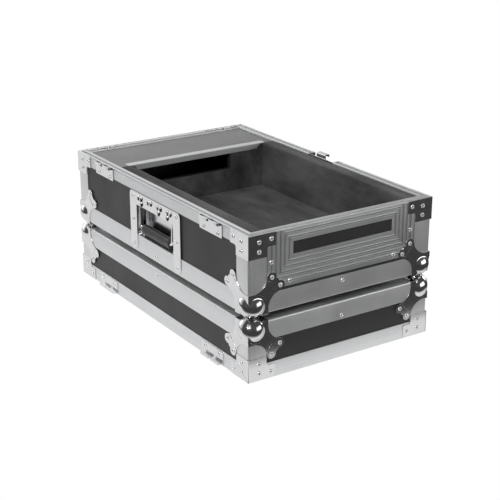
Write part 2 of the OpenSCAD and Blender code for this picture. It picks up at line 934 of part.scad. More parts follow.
// Round boss that turns on the dish's post; its pin moves the hook.
module latch_key() {
    color([0.78, 0.79, 0.82]) as_tray() each_side([1])
        translate([0, key_back, key_z]) rotate([90, 0, 0]) {
            difference() {
                union() {
                    cylinder(r = key_r, h = key_back - key_front);
                    translate([0, hook_travel/2, -2.4])
                        cylinder(r = 2, h = 2.4);
                }
                translate([0, 0, -3*cut])
                    cylinder(r = post_r + pin_gap, h = latch_depth + 3*cut);
                for (m = [-1, 1])
                    translate([m*wing_hinge, 0, key_back - key_front - 1]) {
                        rotate([90, 0, 0]) cylinder(r = barrel_r + pin_gap,
                                                    h = 60, center = true);
                        translate([-barrel_r - fit_gap, -30, 0])
                            cube([2*(barrel_r + fit_gap), 60, 1 + cut]);
                    }
            }
        }
}

// A folding wing: a hinge barrel in the boss's groove, a web and a half-moon
// that starts far enough out to clear the boss when it is folded open.
wing_start = 1.4;
module latch_wing() {
    barrel = 16;
    web_t = 1.2;
    translate([wing_hinge, key_front + 1, key_z - barrel/2]) {
        cylinder(r = barrel_r, h = barrel);
        rotate([0, 0, -45]) translate([0, -web_t/2, 0])
            cube([3.5, web_t, barrel]);
    }
    translate([0, key_front - wing_t, key_z]) rotate([-90, 0, 0])
        linear_extrude(wing_t - fit_gap) intersection() {
            circle(wing_r);
            translate([wing_hinge + wing_start, -wing_r])
                square([wing_r, 2*wing_r]);
        }
}

module latch_wing_rear() {
    color([0.83, 0.84, 0.87]) as_tray() each_side([1]) latch_wing();
}

module latch_wing_front() {
    color([0.83, 0.84, 0.87]) as_tray() each_side([1])
        mirror([1, 0, 0]) latch_wing();
}

// Sliding hook behind the key, raised above the rim.
module latch_hook() {
    back = latch_depth - fit_gap;
    low = key_z - 22;
    high = tray_h + hook_rise;
    color([0.84, 0.85, 0.88]) as_tray() each_side([1]) {
        difference() {
            translate([-hook_w/2, back - hook_t, low])
                cube([hook_w, hook_t, high - low]);
            translate([-8.5, 0, key_z - post_r - 0.5])
                cube([17, latch_depth + cut, hook_travel + 2*post_r + 1]);
        }
        translate([-hook_w/2, 3, high - hook_t])
            cube([hook_w, back - 3, hook_t]);
        translate([-hook_w/2, 3, high - 5]) cube([hook_w, hook_t, 5]);
    }
}

module tray_rivets() {
    color([0.86, 0.87, 0.89]) as_tray() {
        shared_rivets(tray_h, edge_h*0.72);
        each_side([0]) for (m = [-1, 1]) {
            rivet_at(m*(hw - frame_side - 8), window_low - 6);
            rivet_at(m*(hw - window_side + 6), frame_low + 9);
        }
    }
}

module fitting_rivets() {
    strip_mid = (handle_w/2 + dish_w/2 + steel_t)/2;
    color([0.86, 0.87, 0.89]) as_tray() {
        each_side([3]) {
            for (m = [-1, 1], z = [14.5, 62.5, tray_h - tray_rim_h - 9])
                rivet_at(m*strip_mid, z, steel_t);
            for (m = [-1, 1], k = [-1, 1])
                rivet_at(m*(hd - hinge_in) + k*(hinge_w/2 - 13),
                         tray_h - tray_rim_h + 2, steel_t);
        }
        each_side([1]) for (k = [-1, 1], z = [latch_low + 6, tray_h - 12])
            rivet_at(k*(latch_w/2 + 7), z, steel_t);
    }
}

lid_top_panel();
lid_side_walls();
lid_end_walls();
lid_edge_extrusions();
lid_corner_angles();
lid_rim_extrusions();
lid_ball_corners();
lid_corner_braces();
lid_hinge_hooks();
lid_latch_keeper();
lid_top_foam();
lid_side_foam();
lid_rivets();
tray_floor_panel();
tray_left_wall();
tray_right_wall();
tray_front_wall();
tray_rear_wall();
tray_edge_extrusions();
tray_corner_angles();
tray_rim_extrusions();
tray_ball_corners();
tray_corner_braces();
tray_hinge_loops();
rim_keepers();
frame_top_rail();
frame_bottom_rail();
frame_stiles();
side_foam();
front_foam();
floor_foam();
divider_wall();
divider_facing();
cover_ledges();
cover_panel();
cover_strip();
handle_plate();
handle_dish();
handle_bail();
handle_grip();
latch_dish();
latch_key();
latch_wing_front();
latch_wing_rear();
latch_hook();
tray_rivets();
fitting_rivets();
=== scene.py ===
import math

import bmesh
import bpy
from mathutils import Matrix, Vector, noise


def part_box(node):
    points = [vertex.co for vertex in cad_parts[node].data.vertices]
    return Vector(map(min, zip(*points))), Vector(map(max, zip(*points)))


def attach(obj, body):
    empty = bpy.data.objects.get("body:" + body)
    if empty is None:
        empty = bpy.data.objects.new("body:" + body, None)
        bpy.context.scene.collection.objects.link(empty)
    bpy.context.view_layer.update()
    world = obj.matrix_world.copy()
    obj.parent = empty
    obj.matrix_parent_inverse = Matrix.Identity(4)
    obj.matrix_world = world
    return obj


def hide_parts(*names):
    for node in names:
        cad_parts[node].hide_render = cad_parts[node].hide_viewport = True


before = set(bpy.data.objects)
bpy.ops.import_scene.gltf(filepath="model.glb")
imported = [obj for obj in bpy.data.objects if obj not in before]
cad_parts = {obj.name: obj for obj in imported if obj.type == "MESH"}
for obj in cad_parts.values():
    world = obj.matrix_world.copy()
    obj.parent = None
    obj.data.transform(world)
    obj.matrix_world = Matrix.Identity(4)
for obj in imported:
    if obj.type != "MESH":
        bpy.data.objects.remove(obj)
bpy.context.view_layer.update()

# Plywood panels. Birch ply faced on both sides with a black phenolic
# laminate that has a fine pebbled grain. They are held by the edging only,
# so nothing is fixed through their faces except the fittings' rivets.
class Wire:
    """A value in a node tree, with arithmetic that adds the nodes for it."""

    def __init__(self, tree, end=None):
        self.tree, self.end = tree, end

    def feed(self, value, socket):
        if isinstance(value, Wire):
            self.tree.links.new(value.end, socket)
        else:
            socket.default_value = value

    def node(self, kind, inputs=(), out=0, **settings):
        made = self.tree.nodes.new(kind)
        for name, value in settings.items():
            setattr(made, name, value)
        for key, value in dict(inputs).items():
            self.feed(value, made.inputs[key])
        return Wire(self.tree, made.outputs[out])

    def maths(self, what, *values):
        return self.node("ShaderNodeMath", enumerate(values), operation=what)

    def __add__(self, other):
        return self.maths("ADD", self, other)

    def __sub__(self, other):
        return self.maths("SUBTRACT", self, other)

    def __rsub__(self, other):
        return self.maths("SUBTRACT", other, self)

    def __mul__(self, other):
        return self.maths("MULTIPLY", self, other)

    def scaled(self, x, y, z):
        return self.node("ShaderNodeMapping", {0: self, "Scale": (x, y, z)})

    def noise(self, scale, detail=3.0, rough=0.5):
        return self.node("ShaderNodeTexNoise",
                         {"Vector": self, "Scale": scale, "Detail": detail,
                          "Roughness": rough})

    def spread(self, low, high, to_low=0.0, to_high=1.0):
        return self.node("ShaderNodeMapRange",
                         {0: self, 1: low, 2: high, 3: to_low, 4: to_high})

    def tint(self, dark, light):
        return self.node("ShaderNodeMix", {0: self, 6: (*dark, 1), 7: (*light, 1)},
                         out=2, data_type="RGBA")

    def bumps(self, strength, distance):
        return self.node("ShaderNodeBump",
                         {"Height": self, "Strength": strength,
                          "Distance": distance})


def material(name, make):
    """A node material. make gets the place in the piece and returns sockets."""
    made = bpy.data.materials.new(name)
    made.use_nodes = True
    tree = made.node_tree
    shader = tree.nodes["Principled BSDF"]
    place = Wire(tree).node("ShaderNodeTexCoord", out=3)
    for key, value in make(place).items():
        place.feed(value, shader.inputs[key])
    return made


def laminate_look(place):
    pebble = place.noise(1500.0, 2.0)
    smudge = place.noise(9.0, 4.0, 0.6)
    fine = place.scaled(1, 1, 4).noise(120.0, 3.0)
    return {"Base Color": (smudge * 0.6 + fine * 0.4).tint((0.012, 0.012, 0.013),
                                                       (0.034, 0.034, 0.036)),
            "Roughness": smudge.spread(0.3, 0.7, 0.42, 0.58),
            "Specular IOR Level": 0.42,
            "Normal": pebble.bumps(0.35, 0.0002)}


def refinish(node, finish):
    """Gives one of the frame's own meshes its finish."""
    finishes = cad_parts[node].data.materials
    finishes.clear()
    finishes.append(finish)


laminate = material("black_laminate", laminate_look)
for panel in ("lid_top_panel", "lid_side_walls", "lid_end_walls",
              "tray_floor_panel", "tray_left_wall", "tray_right_wall",
              "tray_front_wall", "tray_rear_wall", "divider_wall"):
    refinish(panel, laminate)


# Edge extrusions. Rolled aluminium angle round the closed face of each half,
# mitred at the corners and riveted through the ply. The outer corner is
# rounded, and the faces carry fine drawing lines along their length.
MM = 0.001
TONGUE_H = 3
edge_low, edge_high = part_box("tray_edge_extrusions")
HALF_W, HALF_D, TRAY_Z = edge_high.x, edge_high.y, edge_low.z
LID_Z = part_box("lid_edge_extrusions")[1].z
TRAY_H = (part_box("tray_rim_extrusions")[1].z - TRAY_Z) / MM
LID_H = (LID_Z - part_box("lid_rim_extrusions")[0].z - TONGUE_H * MM) / MM
TRAY = Matrix.Translation((0, 0, TRAY_Z))
LID = Matrix.Translation((0, 0, LID_Z)) @ Matrix.Diagonal((1, 1, -1, 1))


def side(half, number):
    """From a side's own frame, with x along it, y inwards and z away from the
    closed face, to the row's. 0 is the front, then right, rear and left."""
    out = HALF_D if number % 2 == 0 else HALF_W
    return (half @ Matrix.Rotation(math.pi / 2 * number, 4, "Z")
            @ Matrix.Translation((0, -out, 0)))


def metal_look(dark, light, rough, streak, bare=0.94):
    """Rolled metal with drawing lines along its length. streak is the lines'
    depth, and bare is how much of the surface is metal and not oxide."""
    def look(place):
        grain = place.node("ShaderNodeAttribute", out=1, attribute_name="grain")
        lines = grain.scaled(7, 2400, 1).noise(1.0, 3.0, 0.65)
        wide = grain.scaled(2, 420, 1).noise(1.0, 2.0)
        cloud = place.noise(14.0, 4.0, 0.6)
        drawn = lines * 0.6 + wide * 0.4
        return {"Base Color": (drawn * 0.7 + cloud * 0.3).spread(0.3, 0.7).tint(
                    dark, light),
                "Metallic": bare,
                "Roughness": (drawn * 0.5 + cloud * 0.5).spread(
                    0.3, 0.7, rough - 0.07, rough + 0.07),
                "Normal": drawn.bumps(streak, 0.0001)}
    return look


aluminium = material("drawn_aluminium", metal_look(
    (0.56, 0.565, 0.572), (0.75, 0.755, 0.762), 0.41, 0.06, 0.85))


def placed(name, data, body, nodes):
    """Puts a finished mesh on its body, in the place of its nodes."""
    piece = bpy.data.objects.new(name, data)
    bpy.context.scene.collection.objects.link(piece)
    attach(piece, body)
    if nodes:
        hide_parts(*nodes)
    return piece


def closed_piece(name, mesh, body, nodes, finish, bevel=0.35, smooth=32):
    """Turns a bmesh of closed solids into a finished piece with eased edges."""
    bmesh.ops.remove_doubles(mesh, verts=mesh.verts, dist=1e-6)
    bmesh.ops.recalc_face_normals(mesh, faces=mesh.faces)
    data = bpy.data.meshes.new(name)
    mesh.to_mesh(data)
    mesh.free()
    for face in data.polygons:
        face.use_smooth = True
    data.set_sharp_from_angle(angle=math.radians(smooth))
    rough = bpy.data.objects.new(name + "_rough", data)
    bpy.context.scene.collection.objects.link(rough)
    if bevel:
        ease = rough.modifiers.new("eased_edges", "BEVEL")
        ease.width = bevel * MM
        ease.segments = 2
        ease.limit_method = "ANGLE"
        ease.angle_limit = math.radians(smooth)
        ease.harden_normals = True
        ease.use_clamp_overlap = True
    bpy.context.view_layer.update()
    solid = bpy.data.meshes.new_from_object(
        rough.evaluated_get(bpy.context.evaluated_depsgraph_get()))
    bpy.data.objects.remove(rough)
    solid.name = name
    solid.materials.clear()
    solid.materials.append(finish)
    return placed(name, solid, body, nodes)


def new_mesh():
    """A mesh whose points know where they lie along and round their section."""
    mesh = bmesh.new()
    mesh.verts.layers.float_vector.new("grain")
    return mesh


def bar(mesh, profile, place, start, end):
    """A straight length of a section given in y and z, in mm. start and end
    give the x of each cut, in mm, for a point of the section."""
    grain = mesh.verts.layers.float_vector["grain"]
    rows, run = [], 0.0
    for i, (y, z) in enumerate(profile):
        if i:
            run += math.dist(profile[i - 1], (y, z))
        row = []
        for x in (start(y, z), end(y, z)):
            vert = mesh.verts.new(place @ Vector((x * MM, y * MM, z * MM)))
            vert[grain] = (x * MM, run * MM, y * MM)
            row.append(vert)
        rows.append(row)
    count = len(rows)
    for i in range(count):
        a, b = rows[i], rows[(i + 1) % count]
        mesh.faces.new((a[0], a[1], b[1], b[0]))
    mesh.faces.new([row[0] for row in rows])
    mesh.faces.new([row[1] for row in reversed(rows)])


def arc(x, y, r, start, end, steps=8):
    """Points on a circle's arc, from one angle to another in degrees."""
    return [(x + r * math.cos(math.radians(start + (end - start) * i / steps)),
             y + r * math.sin(math.radians(start + (end - start) * i / steps)))
            for i in range(steps + 1)]


MITRE_GAP = 0.1


def half_length(number):
    """Half of a side's length, in mm."""
    return (HALF_W if number % 2 == 0 else HALF_D) / MM


def mitred(mesh, profile, half, number):
    """A whole side's length of a section, cut at 45 degrees at both ends."""
    long = half_length(number)
    bar(mesh, profile, side(half, number),
        lambda y, z: y + MITRE_GAP - long, lambda y, z: long - y - MITRE_GAP)


EDGE_H, EDGE_W, EDGE_R, SKIN = 34.5, 30.0, 3, 1.5


def angle_section(across, up):
    """A rolled angle with a round corner: one leg across, the other up."""
    return (arc(EDGE_R, EDGE_R, EDGE_R, 180, 270, 4)
            + [(across, 0), (across, SKIN), (EDGE_R, SKIN), (SKIN, EDGE_R),
               (SKIN, up), (0, up)])


for half, body in ((TRAY, "tray"), (LID, "lid")):
    mesh = new_mesh()
    for number in range(4):
        mitred(mesh, angle_section(EDGE_W, EDGE_H), half, number)
    closed_piece(body + "_edge_angles", mesh, body,
                 [body + "_edge_extrusions"], aluminium)


# Upright corner angles. Lengths of the same rolled angle that close each
# corner between the edging and the rim. They are riveted under the braces
# and under the legs of the ball corners.
CORNER_W, CUT_GAP = 35.5, 0.2
TRAY_RIM_H, LID_RIM_H = 22, 27.4
CORNERS = [(sx, sy) for sx in (-1, 1) for sy in (-1, 1)]


def upright(mesh, half, sx, sy, low, high):
    """A length of the angle in a corner, from one height to another, in mm."""
    turn = {(-1, -1): 0, (1, -1): 1, (1, 1): 2, (-1, 1): 3}[sx, sy]
    place = (half @ Matrix.Translation((sx * HALF_W, sy * HALF_D, 0))
             @ Matrix.Rotation(math.pi / 2 * turn, 4, "Z")
             @ Matrix(((0, 1, 0, 0), (0, 0, 1, 0), (1, 0, 0, 0), (0, 0, 0, 1))))
    bar(mesh, angle_section(CORNER_W, CORNER_W), place,
        lambda y, z: low, lambda y, z: high)


for half, body, high in ((TRAY, "tray", TRAY_H - TRAY_RIM_H),
                         (LID, "lid", LID_H - LID_RIM_H)):
    mesh = new_mesh()
    for sx, sy in CORNERS:
        upright(mesh, half, sx, sy, EDGE_H + CUT_GAP, high - CUT_GAP)
    closed_piece(body + "_corner_uprights", mesh, body,
                 [body + "_corner_angles"], aluminium)


# Rim extrusions. The tray's has a groove between two lips and straddles the
# ply with an inner flange; its front length keeps a narrow lip only. The
# lid's has the tongue that fits the groove. A gap is left for the latch.
RIM_W, PLY_IN = 15.5, 10.5
GROOVE_D, WEB_D, FLANGE_D = 3.6, 5.2, 16
FRONT_LIP, REAR_DROP = 2.6, 2.8
DRAWN_LINES, LINE_PITCH = 5, 3.1
LATCH_GAP = 38.9


def clear_of_latch(mesh, profile, half):
    """The right side's two lengths of a rim, one on each side of the latch."""
    long = half_length(1)
    place = side(half, 1)
    bar(mesh, profile, place,
        lambda y, z: y + MITRE_GAP - long, lambda y, z: -LATCH_GAP)
    bar(mesh, profile, place,
        lambda y, z: LATCH_GAP, lambda y, z: long - y - MITRE_GAP)


def tray_rim(h, face, inner=0):
    """The rim's section, from the foot of the outer face round to the ply. The
    broad face has fine grooves drawn in it. inner lowers the inner lip."""
    top = h - inner
    bed, web, flange = h - GROOVE_D, h - WEB_D, h - FLANGE_D
    lines = [h - face + 4.5 + LINE_PITCH * k
             for k in range(DRAWN_LINES) if face == TRAY_RIM_H]
    outer = [p for z in lines for p in ((0, z), (0.3, z + 0.3), (0.3, z + 0.7), (0, z + 1.0))]
    return ([(0, h - face)] + outer + arc(0.8, h - 0.8, 0.8, 180, 90, 3)
            + arc(2.5, h - 0.5, 0.5, 90, 0, 2) + [(3.2, bed), (8.8, bed)]
            + arc(9.5, top - 0.5, 0.5, 180, 90, 2) + arc(14.9, top - 0.6, 0.6, 90, 0, 2)
            + [(RIM_W, web), (PLY_IN + SKIN, web), (PLY_IN + SKIN, flange),
               (PLY_IN, flange), (PLY_IN, web), (SKIN, web), (SKIN, h - face)])


mesh = new_mesh()
h = TRAY_H
mitred(mesh, tray_rim(h, TRAY_RIM_H, REAR_DROP), TRAY, 2)
mitred(mesh, tray_rim(h, TRAY_RIM_H), TRAY, 3)
mitred(mesh, tray_rim(h, FRONT_LIP), TRAY, 0)
clear_of_latch(mesh, tray_rim(h, TRAY_RIM_H), TRAY)
closed_piece("tray_rim", mesh, "tray", ["tray_rim_extrusions"],
             aluminium, bevel=0.2)
mesh = new_mesh()
h = LID_H
flange_in = PLY_IN + SKIN
lid_section = [(0, h - LID_RIM_H), (0, h - 0.6), (0.6, h), (3.3, h), (3.4, h + 2.6),
               (3.9, h + TONGUE_H), (8.1, h + TONGUE_H), (8.6, h + 2.6), (8.7, h),
               (flange_in, h), (flange_in, h - FLANGE_D), (PLY_IN, h - FLANGE_D),
               (PLY_IN, h - 1.6), (SKIN, h - 1.6), (SKIN, h - LID_RIM_H)]
for number in (0, 2, 3):
    mitred(mesh, lid_section, LID, number)
clear_of_latch(mesh, lid_section, LID)
closed_piece("lid_rim", mesh, "lid", ["lid_rim_extrusions"],
             aluminium, bevel=0.2)


# Ball corners. Deep-drawn steel, bright nickel plated: a hollow ball with a
# waisted leg on each of three faces, two rivets in the lobes of each leg and
# a pressed rib beside them. The tops of the lid's balls are dished.
BALL, IN, ROUND, DISC = 22.5, 15.0, 5.0, 21.0
PLATE, NEST = 1.2, 0.5
LEG_NEAR, LEG_FAR, LOBE = 45.0, 61.5, 8.6


def steel_look(dark, light, rough):
    """Plated pressed steel, faintly cloudy and not quite flat."""
    def look(place):
        cloud = place.noise(60.0, 4.0, 0.6)
        fine = place.noise(700.0, 3.0)
        return {"Base Color": (cloud * 0.6 + fine * 0.4).spread(0.3, 0.7).tint(
                    dark, light),
                "Metallic": 1.0,
                "Roughness": (cloud * 0.5 + fine * 0.5).spread(
                    0.3, 0.7, rough - 0.04, rough + 0.05),
                "Normal": (cloud + fine * 0.12).bumps(0.06, 0.0006)}
    return look


bright_steel = material("bright_steel", steel_look(
    (0.60, 0.60, 0.61), (0.70, 0.70, 0.71), 0.15))


def steel_piece(name, mesh, body, node, bevel=0.35, smooth=32):
    closed_piece(name, mesh, body, [node], bright_steel, bevel, smooth)


def cap_profile():
    """Radius from the cap's axis and height over the face, pole to plate."""
    high = PLATE + ROUND
    root = math.sqrt((BALL + ROUND) ** 2 - (IN + high) ** 2)
    lean = math.degrees(math.atan2(root, IN + high))
    return (arc(0, -IN, BALL, 90, 90 - lean, 14)
            + arc(root, high, ROUND, 270 - lean, 270, 6)[1:]
            + [(DISC - 2.4, PLATE), (DISC - 1.2, PLATE), (DISC, PLATE)])


FOLD_FROM, FOLD_OVER = 0.78, 0.11
FLARE_FROM, FLARE = 17.8, 1.25


def on_ball(p, toward, r):
    """Draws a point near the fold in to the ball, whose round runs across it.
    toward is the cosine to the fold, and r the distance from the cap's axis."""
    centre = Vector((IN, IN, IN))
    away = Vector(p) - centre
    near = min(1.0, max(0.0, (toward - FOLD_FROM) / FOLD_OVER))
    reach = BALL + max(0.0, r - FLARE_FROM) * FLARE
    if near > 0 and away.length > reach:
        away = away.lerp(away.normalized() * reach, near)
    return tuple(centre + away)


def cap(mesh, to_row):
    """One face's share of the ball, clipped where the next face's begins."""
    profile = cap_profile()
    rings, steps = [], 72
    for k in range(steps + 1):
        phi = 2 * math.pi * k / steps
        dx, dy = math.cos(phi), math.sin(phi)
        outer = dx < -1e-6 and dy < -1e-6
        if outer:
            lean = math.atan(1 / max(-dx, -dy))
            line = arc(0, -IN, BALL, 90, 90 - math.degrees(lean), len(profile) - 1)
        else:
            line, ended = [], None
            for i, (r, up) in enumerate(profile):
                over = max(-dx, -dy) * r - IN - up
                if ended is None and over > 0:
                    pr, pu = profile[i - 1]
                    before = max(-dx, -dy) * pr - IN - pu
                    part = before / (before - over)
                    ended = (pr + (r - pr) * part, pu + (up - pu) * part)
                line.append(ended or (r, up))
        rings.append([on_ball((IN + dx * r, IN + dy * r, -up), max(-dx, -dy), r)
                      for r, up in line])
    verts = [[mesh.verts.new(to_row(p)) for p in ring] for ring in rings]
    for a, b in zip(verts, verts[1:]):
        for i in range(len(a) - 1):
            mesh.faces.new((a[i], a[i + 1], b[i + 1], b[i]))


def leg_outline():
    """A leg in its face: round the ball's foot, in at the waist, and out to a
    lobe round each rivet. x and y count from the case's corner."""
    root, bend, notch = 38.0, 28.0, 57.1
    fold = IN + PLATE
    open_angle = math.degrees(math.acos(-fold / DISC))
    start = IN + math.sqrt(DISC ** 2 - fold ** 2)
    low = LEG_NEAR - LOBE - bend
    return ([(start, -PLATE), (root, -PLATE)]
            + arc(root + bend, low, bend, 180, 100, 12)
            + arc(LEG_FAR, LEG_NEAR, LOBE, -92, 105, 16) + [(notch, notch)]
            + arc(LEG_NEAR, LEG_FAR, LOBE, -15, 182, 16)
            + arc(low, root + bend, bend, -10, -90, 12)
            + [(-PLATE, root), (-PLATE, start)]
            + arc(IN, IN, DISC, open_angle, 90 - open_angle, 28)[1:-1])


def slab(mesh, outlines, near, far, to_row):
    """A flat plate between two depths; outlines after the first are holes."""
    edges, flat = [], set()
    for points in outlines:
        points = [p for i, p in enumerate(points) if math.dist(p, points[i - 1]) > 0.01]
        ring = [mesh.verts.new((x, near, z)) for x, z in points]
        edges += [mesh.edges.new((ring[i - 1], ring[i])) for i in range(len(ring))]
        flat.update(ring)
    filled = bmesh.ops.triangle_fill(mesh, use_beauty=True, edges=edges)["geom"]
    faces = [f for f in filled if isinstance(f, bmesh.types.BMFace)]
    pushed = bmesh.ops.extrude_face_region(mesh, geom=faces)["geom"]
    moved = [v for v in pushed if isinstance(v, bmesh.types.BMVert)]
    for vert in moved:
        vert.co.y = far
    for vert in flat | set(moved):
        vert.co = to_row(vert.co)


def put_by(place, order=(0, 1, 2)):
    """Takes a point in mm, with its axes in that order, to the row's place."""
    return lambda p: place @ (Vector([p[i] for i in order]) * MM)


def pill(x, y, long, wide, angle):
    """The outline of a slot with round ends, turned by an angle."""
    turn = math.radians(angle)
    flat = (arc(long / 2 - wide / 2, 0, wide / 2, -90, 90, 8)
            + arc(wide / 2 - long / 2, 0, wide / 2, 90, 270, 8))
    return [(x + u * math.cos(turn) - v * math.sin(turn),
             y + u * math.sin(turn) + v * math.cos(turn)) for u, v in flat]


def corner_frame(half, sx, sy):
    """From a corner's own frame, with x and y inwards along its faces."""
    return half @ Matrix.Translation((sx * HALF_W, sy * HALF_D, 0)) @ \
        Matrix.Diagonal((-sx, -sy, 1, 1))


def ball_corners(half, body):
    """A half's four corners. The lid's balls are dished where the tray's sit."""
    balls, legs = bmesh.new(), new_mesh()
    pressed_rib = pill(46.3, 46.3, 25, 4.4, 135)
    for sx, sy in CORNERS:
        place = corner_frame(half, sx, sy)
        for spin in range(3):
            axes = [(i + spin) % 3 for i in range(3)]

            def to_row(p, axes=axes, place=place):
                p = Vector([p[i] for i in axes])
                if body == "lid":
                    away = p - Vector((IN, IN, (LID_Z - TRAY_Z) / MM - IN))
                    if away.length < BALL + NEST:
                        p = p + away.normalized() * (BALL + NEST - away.length)
                return place @ (p * MM)

            leg_row = put_by(place, [(0, 2, 1)[i] for i in axes])
            cap(balls, to_row)
            slab(legs, [leg_outline()], -PLATE, 0, leg_row)
            slab(legs, [pressed_rib], -PLATE - 0.4, 0.1 - PLATE, leg_row)
    bmesh.ops.remove_doubles(balls, verts=balls.verts, dist=2e-5)
    bmesh.ops.dissolve_degenerate(balls, edges=balls.edges, dist=1e-6)
    for face in balls.faces:
        at = face.calc_center_median()
        sx, sy = (1 if at.x > 0 else -1), (1 if at.y > 0 else -1)
        centre = corner_frame(half, sx, sy) @ Vector((IN * MM, IN * MM, IN * MM))
        if face.normal.dot(at - centre) < 0:
            face.normal_flip()
        face.smooth = True
    data = bpy.data.meshes.new(body + "_balls")
    balls.to_mesh(data)
    balls.free()
    data.materials.append(bright_steel)
    placed(body + "_balls", data, body, [body + "_ball_corners"])
    steel_piece(body + "_ball_legs", legs, body, body + "_ball_corners", bevel=0.55)


ball_corners(TRAY, "tray")
ball_corners(LID, "lid")


# Corner braces. Steel plates folded round the rim's corners, with an arm
# along the rim and a leg down the corner angle. Three rivets hold each face.
ARM, ARM_H, LEG_W, LEG_H = 52, 23.5, 35, 40.5
BELOW_RIM, FILLET = 0.4, 5


def brace_outline():
    """One face of a brace: x from the corner, y down from the rim's top."""
    return ([(-PLATE, -LEG_H), (LEG_W, -LEG_H)]
            + arc(LEG_W + FILLET, -ARM_H - FILLET, FILLET, 180, 90, 6)
            + arc(ARM - 1, 1 - ARM_H, 1, -90, 0, 3)
            + arc(ARM - 1, -BELOW_RIM - 1, 1, 0, 90, 3) + [(-PLATE, -BELOW_RIM)])


for half, body, tall in ((TRAY, "tray", TRAY_H), (LID, "lid", LID_H)):
    mesh = new_mesh()
    for sx, sy in CORNERS:
        place = corner_frame(half, sx, sy) @ Matrix.Translation((0, 0, tall * MM))
        for order in ((0, 1, 2), (1, 0, 2)):
            slab(mesh, [brace_outline()], -PLATE, 0, put_by(place, order))
    steel_piece(body + "_braces", mesh, body, body + "_corner_braces", bevel=0.4)


# Front frame. Ribbed aluminium strip, mitred round a long window through
# which the laminated wall shows, and riveted to the wall under the braces.
def ribbed_look(place):
    """Drawn metal whose grooves are painted darker, for dirt kept there and for shade."""
    sockets = metal_look((0.52, 0.525, 0.53), (0.74, 0.745, 0.75), 0.41, 0.15)(place)
    grain = place.node("ShaderNodeAttribute", out=1, attribute_name="grain")
    depth = place.node("ShaderNodeSeparateXYZ", {0: grain}, out=2)
    # Painted shade and dirt: the deeper a point lies in a groove, the more its colour is
    # mixed toward dark grey.
    sockets["Base Color"] = place.node(
        "ShaderNodeMix", {0: depth.spread(0.3 * MM, 0.9 * MM),
                          6: sockets["Base Color"], 7: (0.35, 0.35, 0.355, 1)},
        out=2, data_type="RGBA")
    return sockets


ribbed = material("ribbed_aluminium", ribbed_look)
FRAME_LOW, FRAME_HIGH = 39.5, TRAY_H - (FRONT_LIP + CUT_GAP)
WIN_SIDE, WIN_LOW, WIN_HIGH = 87.0, 93.0, 114.5
FRAME_SIDE, WIDE = 36.5, 2 * HALF_W / MM
TOP_RUN = FRAME_HIGH - WIN_HIGH


def ribs(start, end, pitch=8.6):
    """Outer line of the strip's section: wide flats with a groove and a bead
    between them."""
    line, at = [(0.15, start)], start + pitch
    while at < end - 4:
        line += [(0.0, at - 1.6), (1.0, at - 0.9), (1.0, at + 0.1), (0.0, at + 0.7),
                 (-0.4, at + 1.2), (-0.5, at + 1.7), (-0.4, at + 2.2), (0.0, at + 2.7)]
        at += pitch
    return line + [(0.0, end)]


def strip(mesh, start, end, along, first, last):
    """One side of the frame, lying along the front or standing, cut by first
    and last."""
    section = ribs(start, end) + [(SKIN, end), (SKIN, start)]
    place = side(TRAY, 0) @ Matrix.Translation((-HALF_W, 0, 0))
    if along:
        bar(mesh, section, place, lambda y, z: first(z), lambda y, z: last(z))
    else:
        swap = Matrix(((0, 0, 1, 0), (0, 1, 0, 0), (1, 0, 0, 0), (0, 0, 0, 1)))
        bar(mesh, section, place @ swap, lambda y, x: first(x), lambda y, x: last(x))


def between(a, fa, b, fb):
    """A mitre from one corner to the other, square beyond them."""
    return lambda v: fa + (fb - fa) * min(1, max(0, (v - a) / (b - a)))


mesh = new_mesh()
reach = between(WIN_HIGH, WIN_SIDE + CUT_GAP,
                FRAME_HIGH, WIN_SIDE - TOP_RUN + CUT_GAP)
strip(mesh, WIN_HIGH, FRAME_HIGH, True, reach, lambda z: WIDE - reach(z))
closed_piece("front_top_strip", mesh, "tray", ["frame_top_rail"], ribbed,
             bevel=0.15, smooth=24)
mesh = new_mesh()
reach = between(FRAME_LOW, FRAME_SIDE + CUT_GAP, WIN_LOW, WIN_SIDE + CUT_GAP)
strip(mesh, FRAME_LOW, WIN_LOW, True, reach, lambda z: WIDE - reach(z))
closed_piece("front_bottom_strip", mesh, "tray", ["frame_bottom_rail"],
             ribbed, bevel=0.15, smooth=24)
mesh = new_mesh()
foot = between(FRAME_SIDE, FRAME_LOW + CUT_GAP, WIN_SIDE, WIN_LOW - CUT_GAP)
head = between(WIN_SIDE - TOP_RUN, FRAME_HIGH, WIN_SIDE, WIN_HIGH - CUT_GAP)
strip(mesh, FRAME_SIDE, WIN_SIDE, False, foot, head)
right = bmesh.ops.duplicate(mesh, geom=[*mesh.verts, *mesh.edges, *mesh.faces])
for part in right["geom"]:
    if isinstance(part, bmesh.types.BMVert):
        part.co.x = -part.co.x
closed_piece("front_side_strips", mesh, "tray", ["frame_stiles"], ribbed,
             bevel=0.15, smooth=24)


# Take-apart hinge halves. On the tray's left rim two plates carry raised
# loops; on the lid's, right below them, two plates carry curled hooks. All are
# steel, plated like the corners, and riveted along the edge away from the rim.
HINGE, LOOP = HALF_D / MM - 112, 15.5
HINGE_HALF, TRAY_HINGE_H, LID_HINGE_H = 35, 26, 25.4
TOP_GAP = 0.5


def in_side(half, number, dx=0.0, up=0.0, order=(0, 1, 2)):
    """Takes a point in mm to a side, from a place along it and up it."""
    return put_by(side(half, number) @ Matrix.Translation((dx * MM, 0, up * MM)), order)


def rounded(x0, z0, x1, z1, r):
    return (arc(x0 + r, z0 + r, r, 180, 270, 4) + arc(x1 - r, z0 + r, r, 270, 360, 4)
            + arc(x1 - r, z1 - r, r, 0, 90, 4) + arc(x0 + r, z1 - r, r, 90, 180, 4))


def hinge_plate(mesh, half, dx, h, high):
    slab(mesh, [rounded(-HINGE_HALF, h - high, HINGE_HALF, h - TOP_GAP, 2)],
         -PLATE, 0, in_side(half, 3, dx))


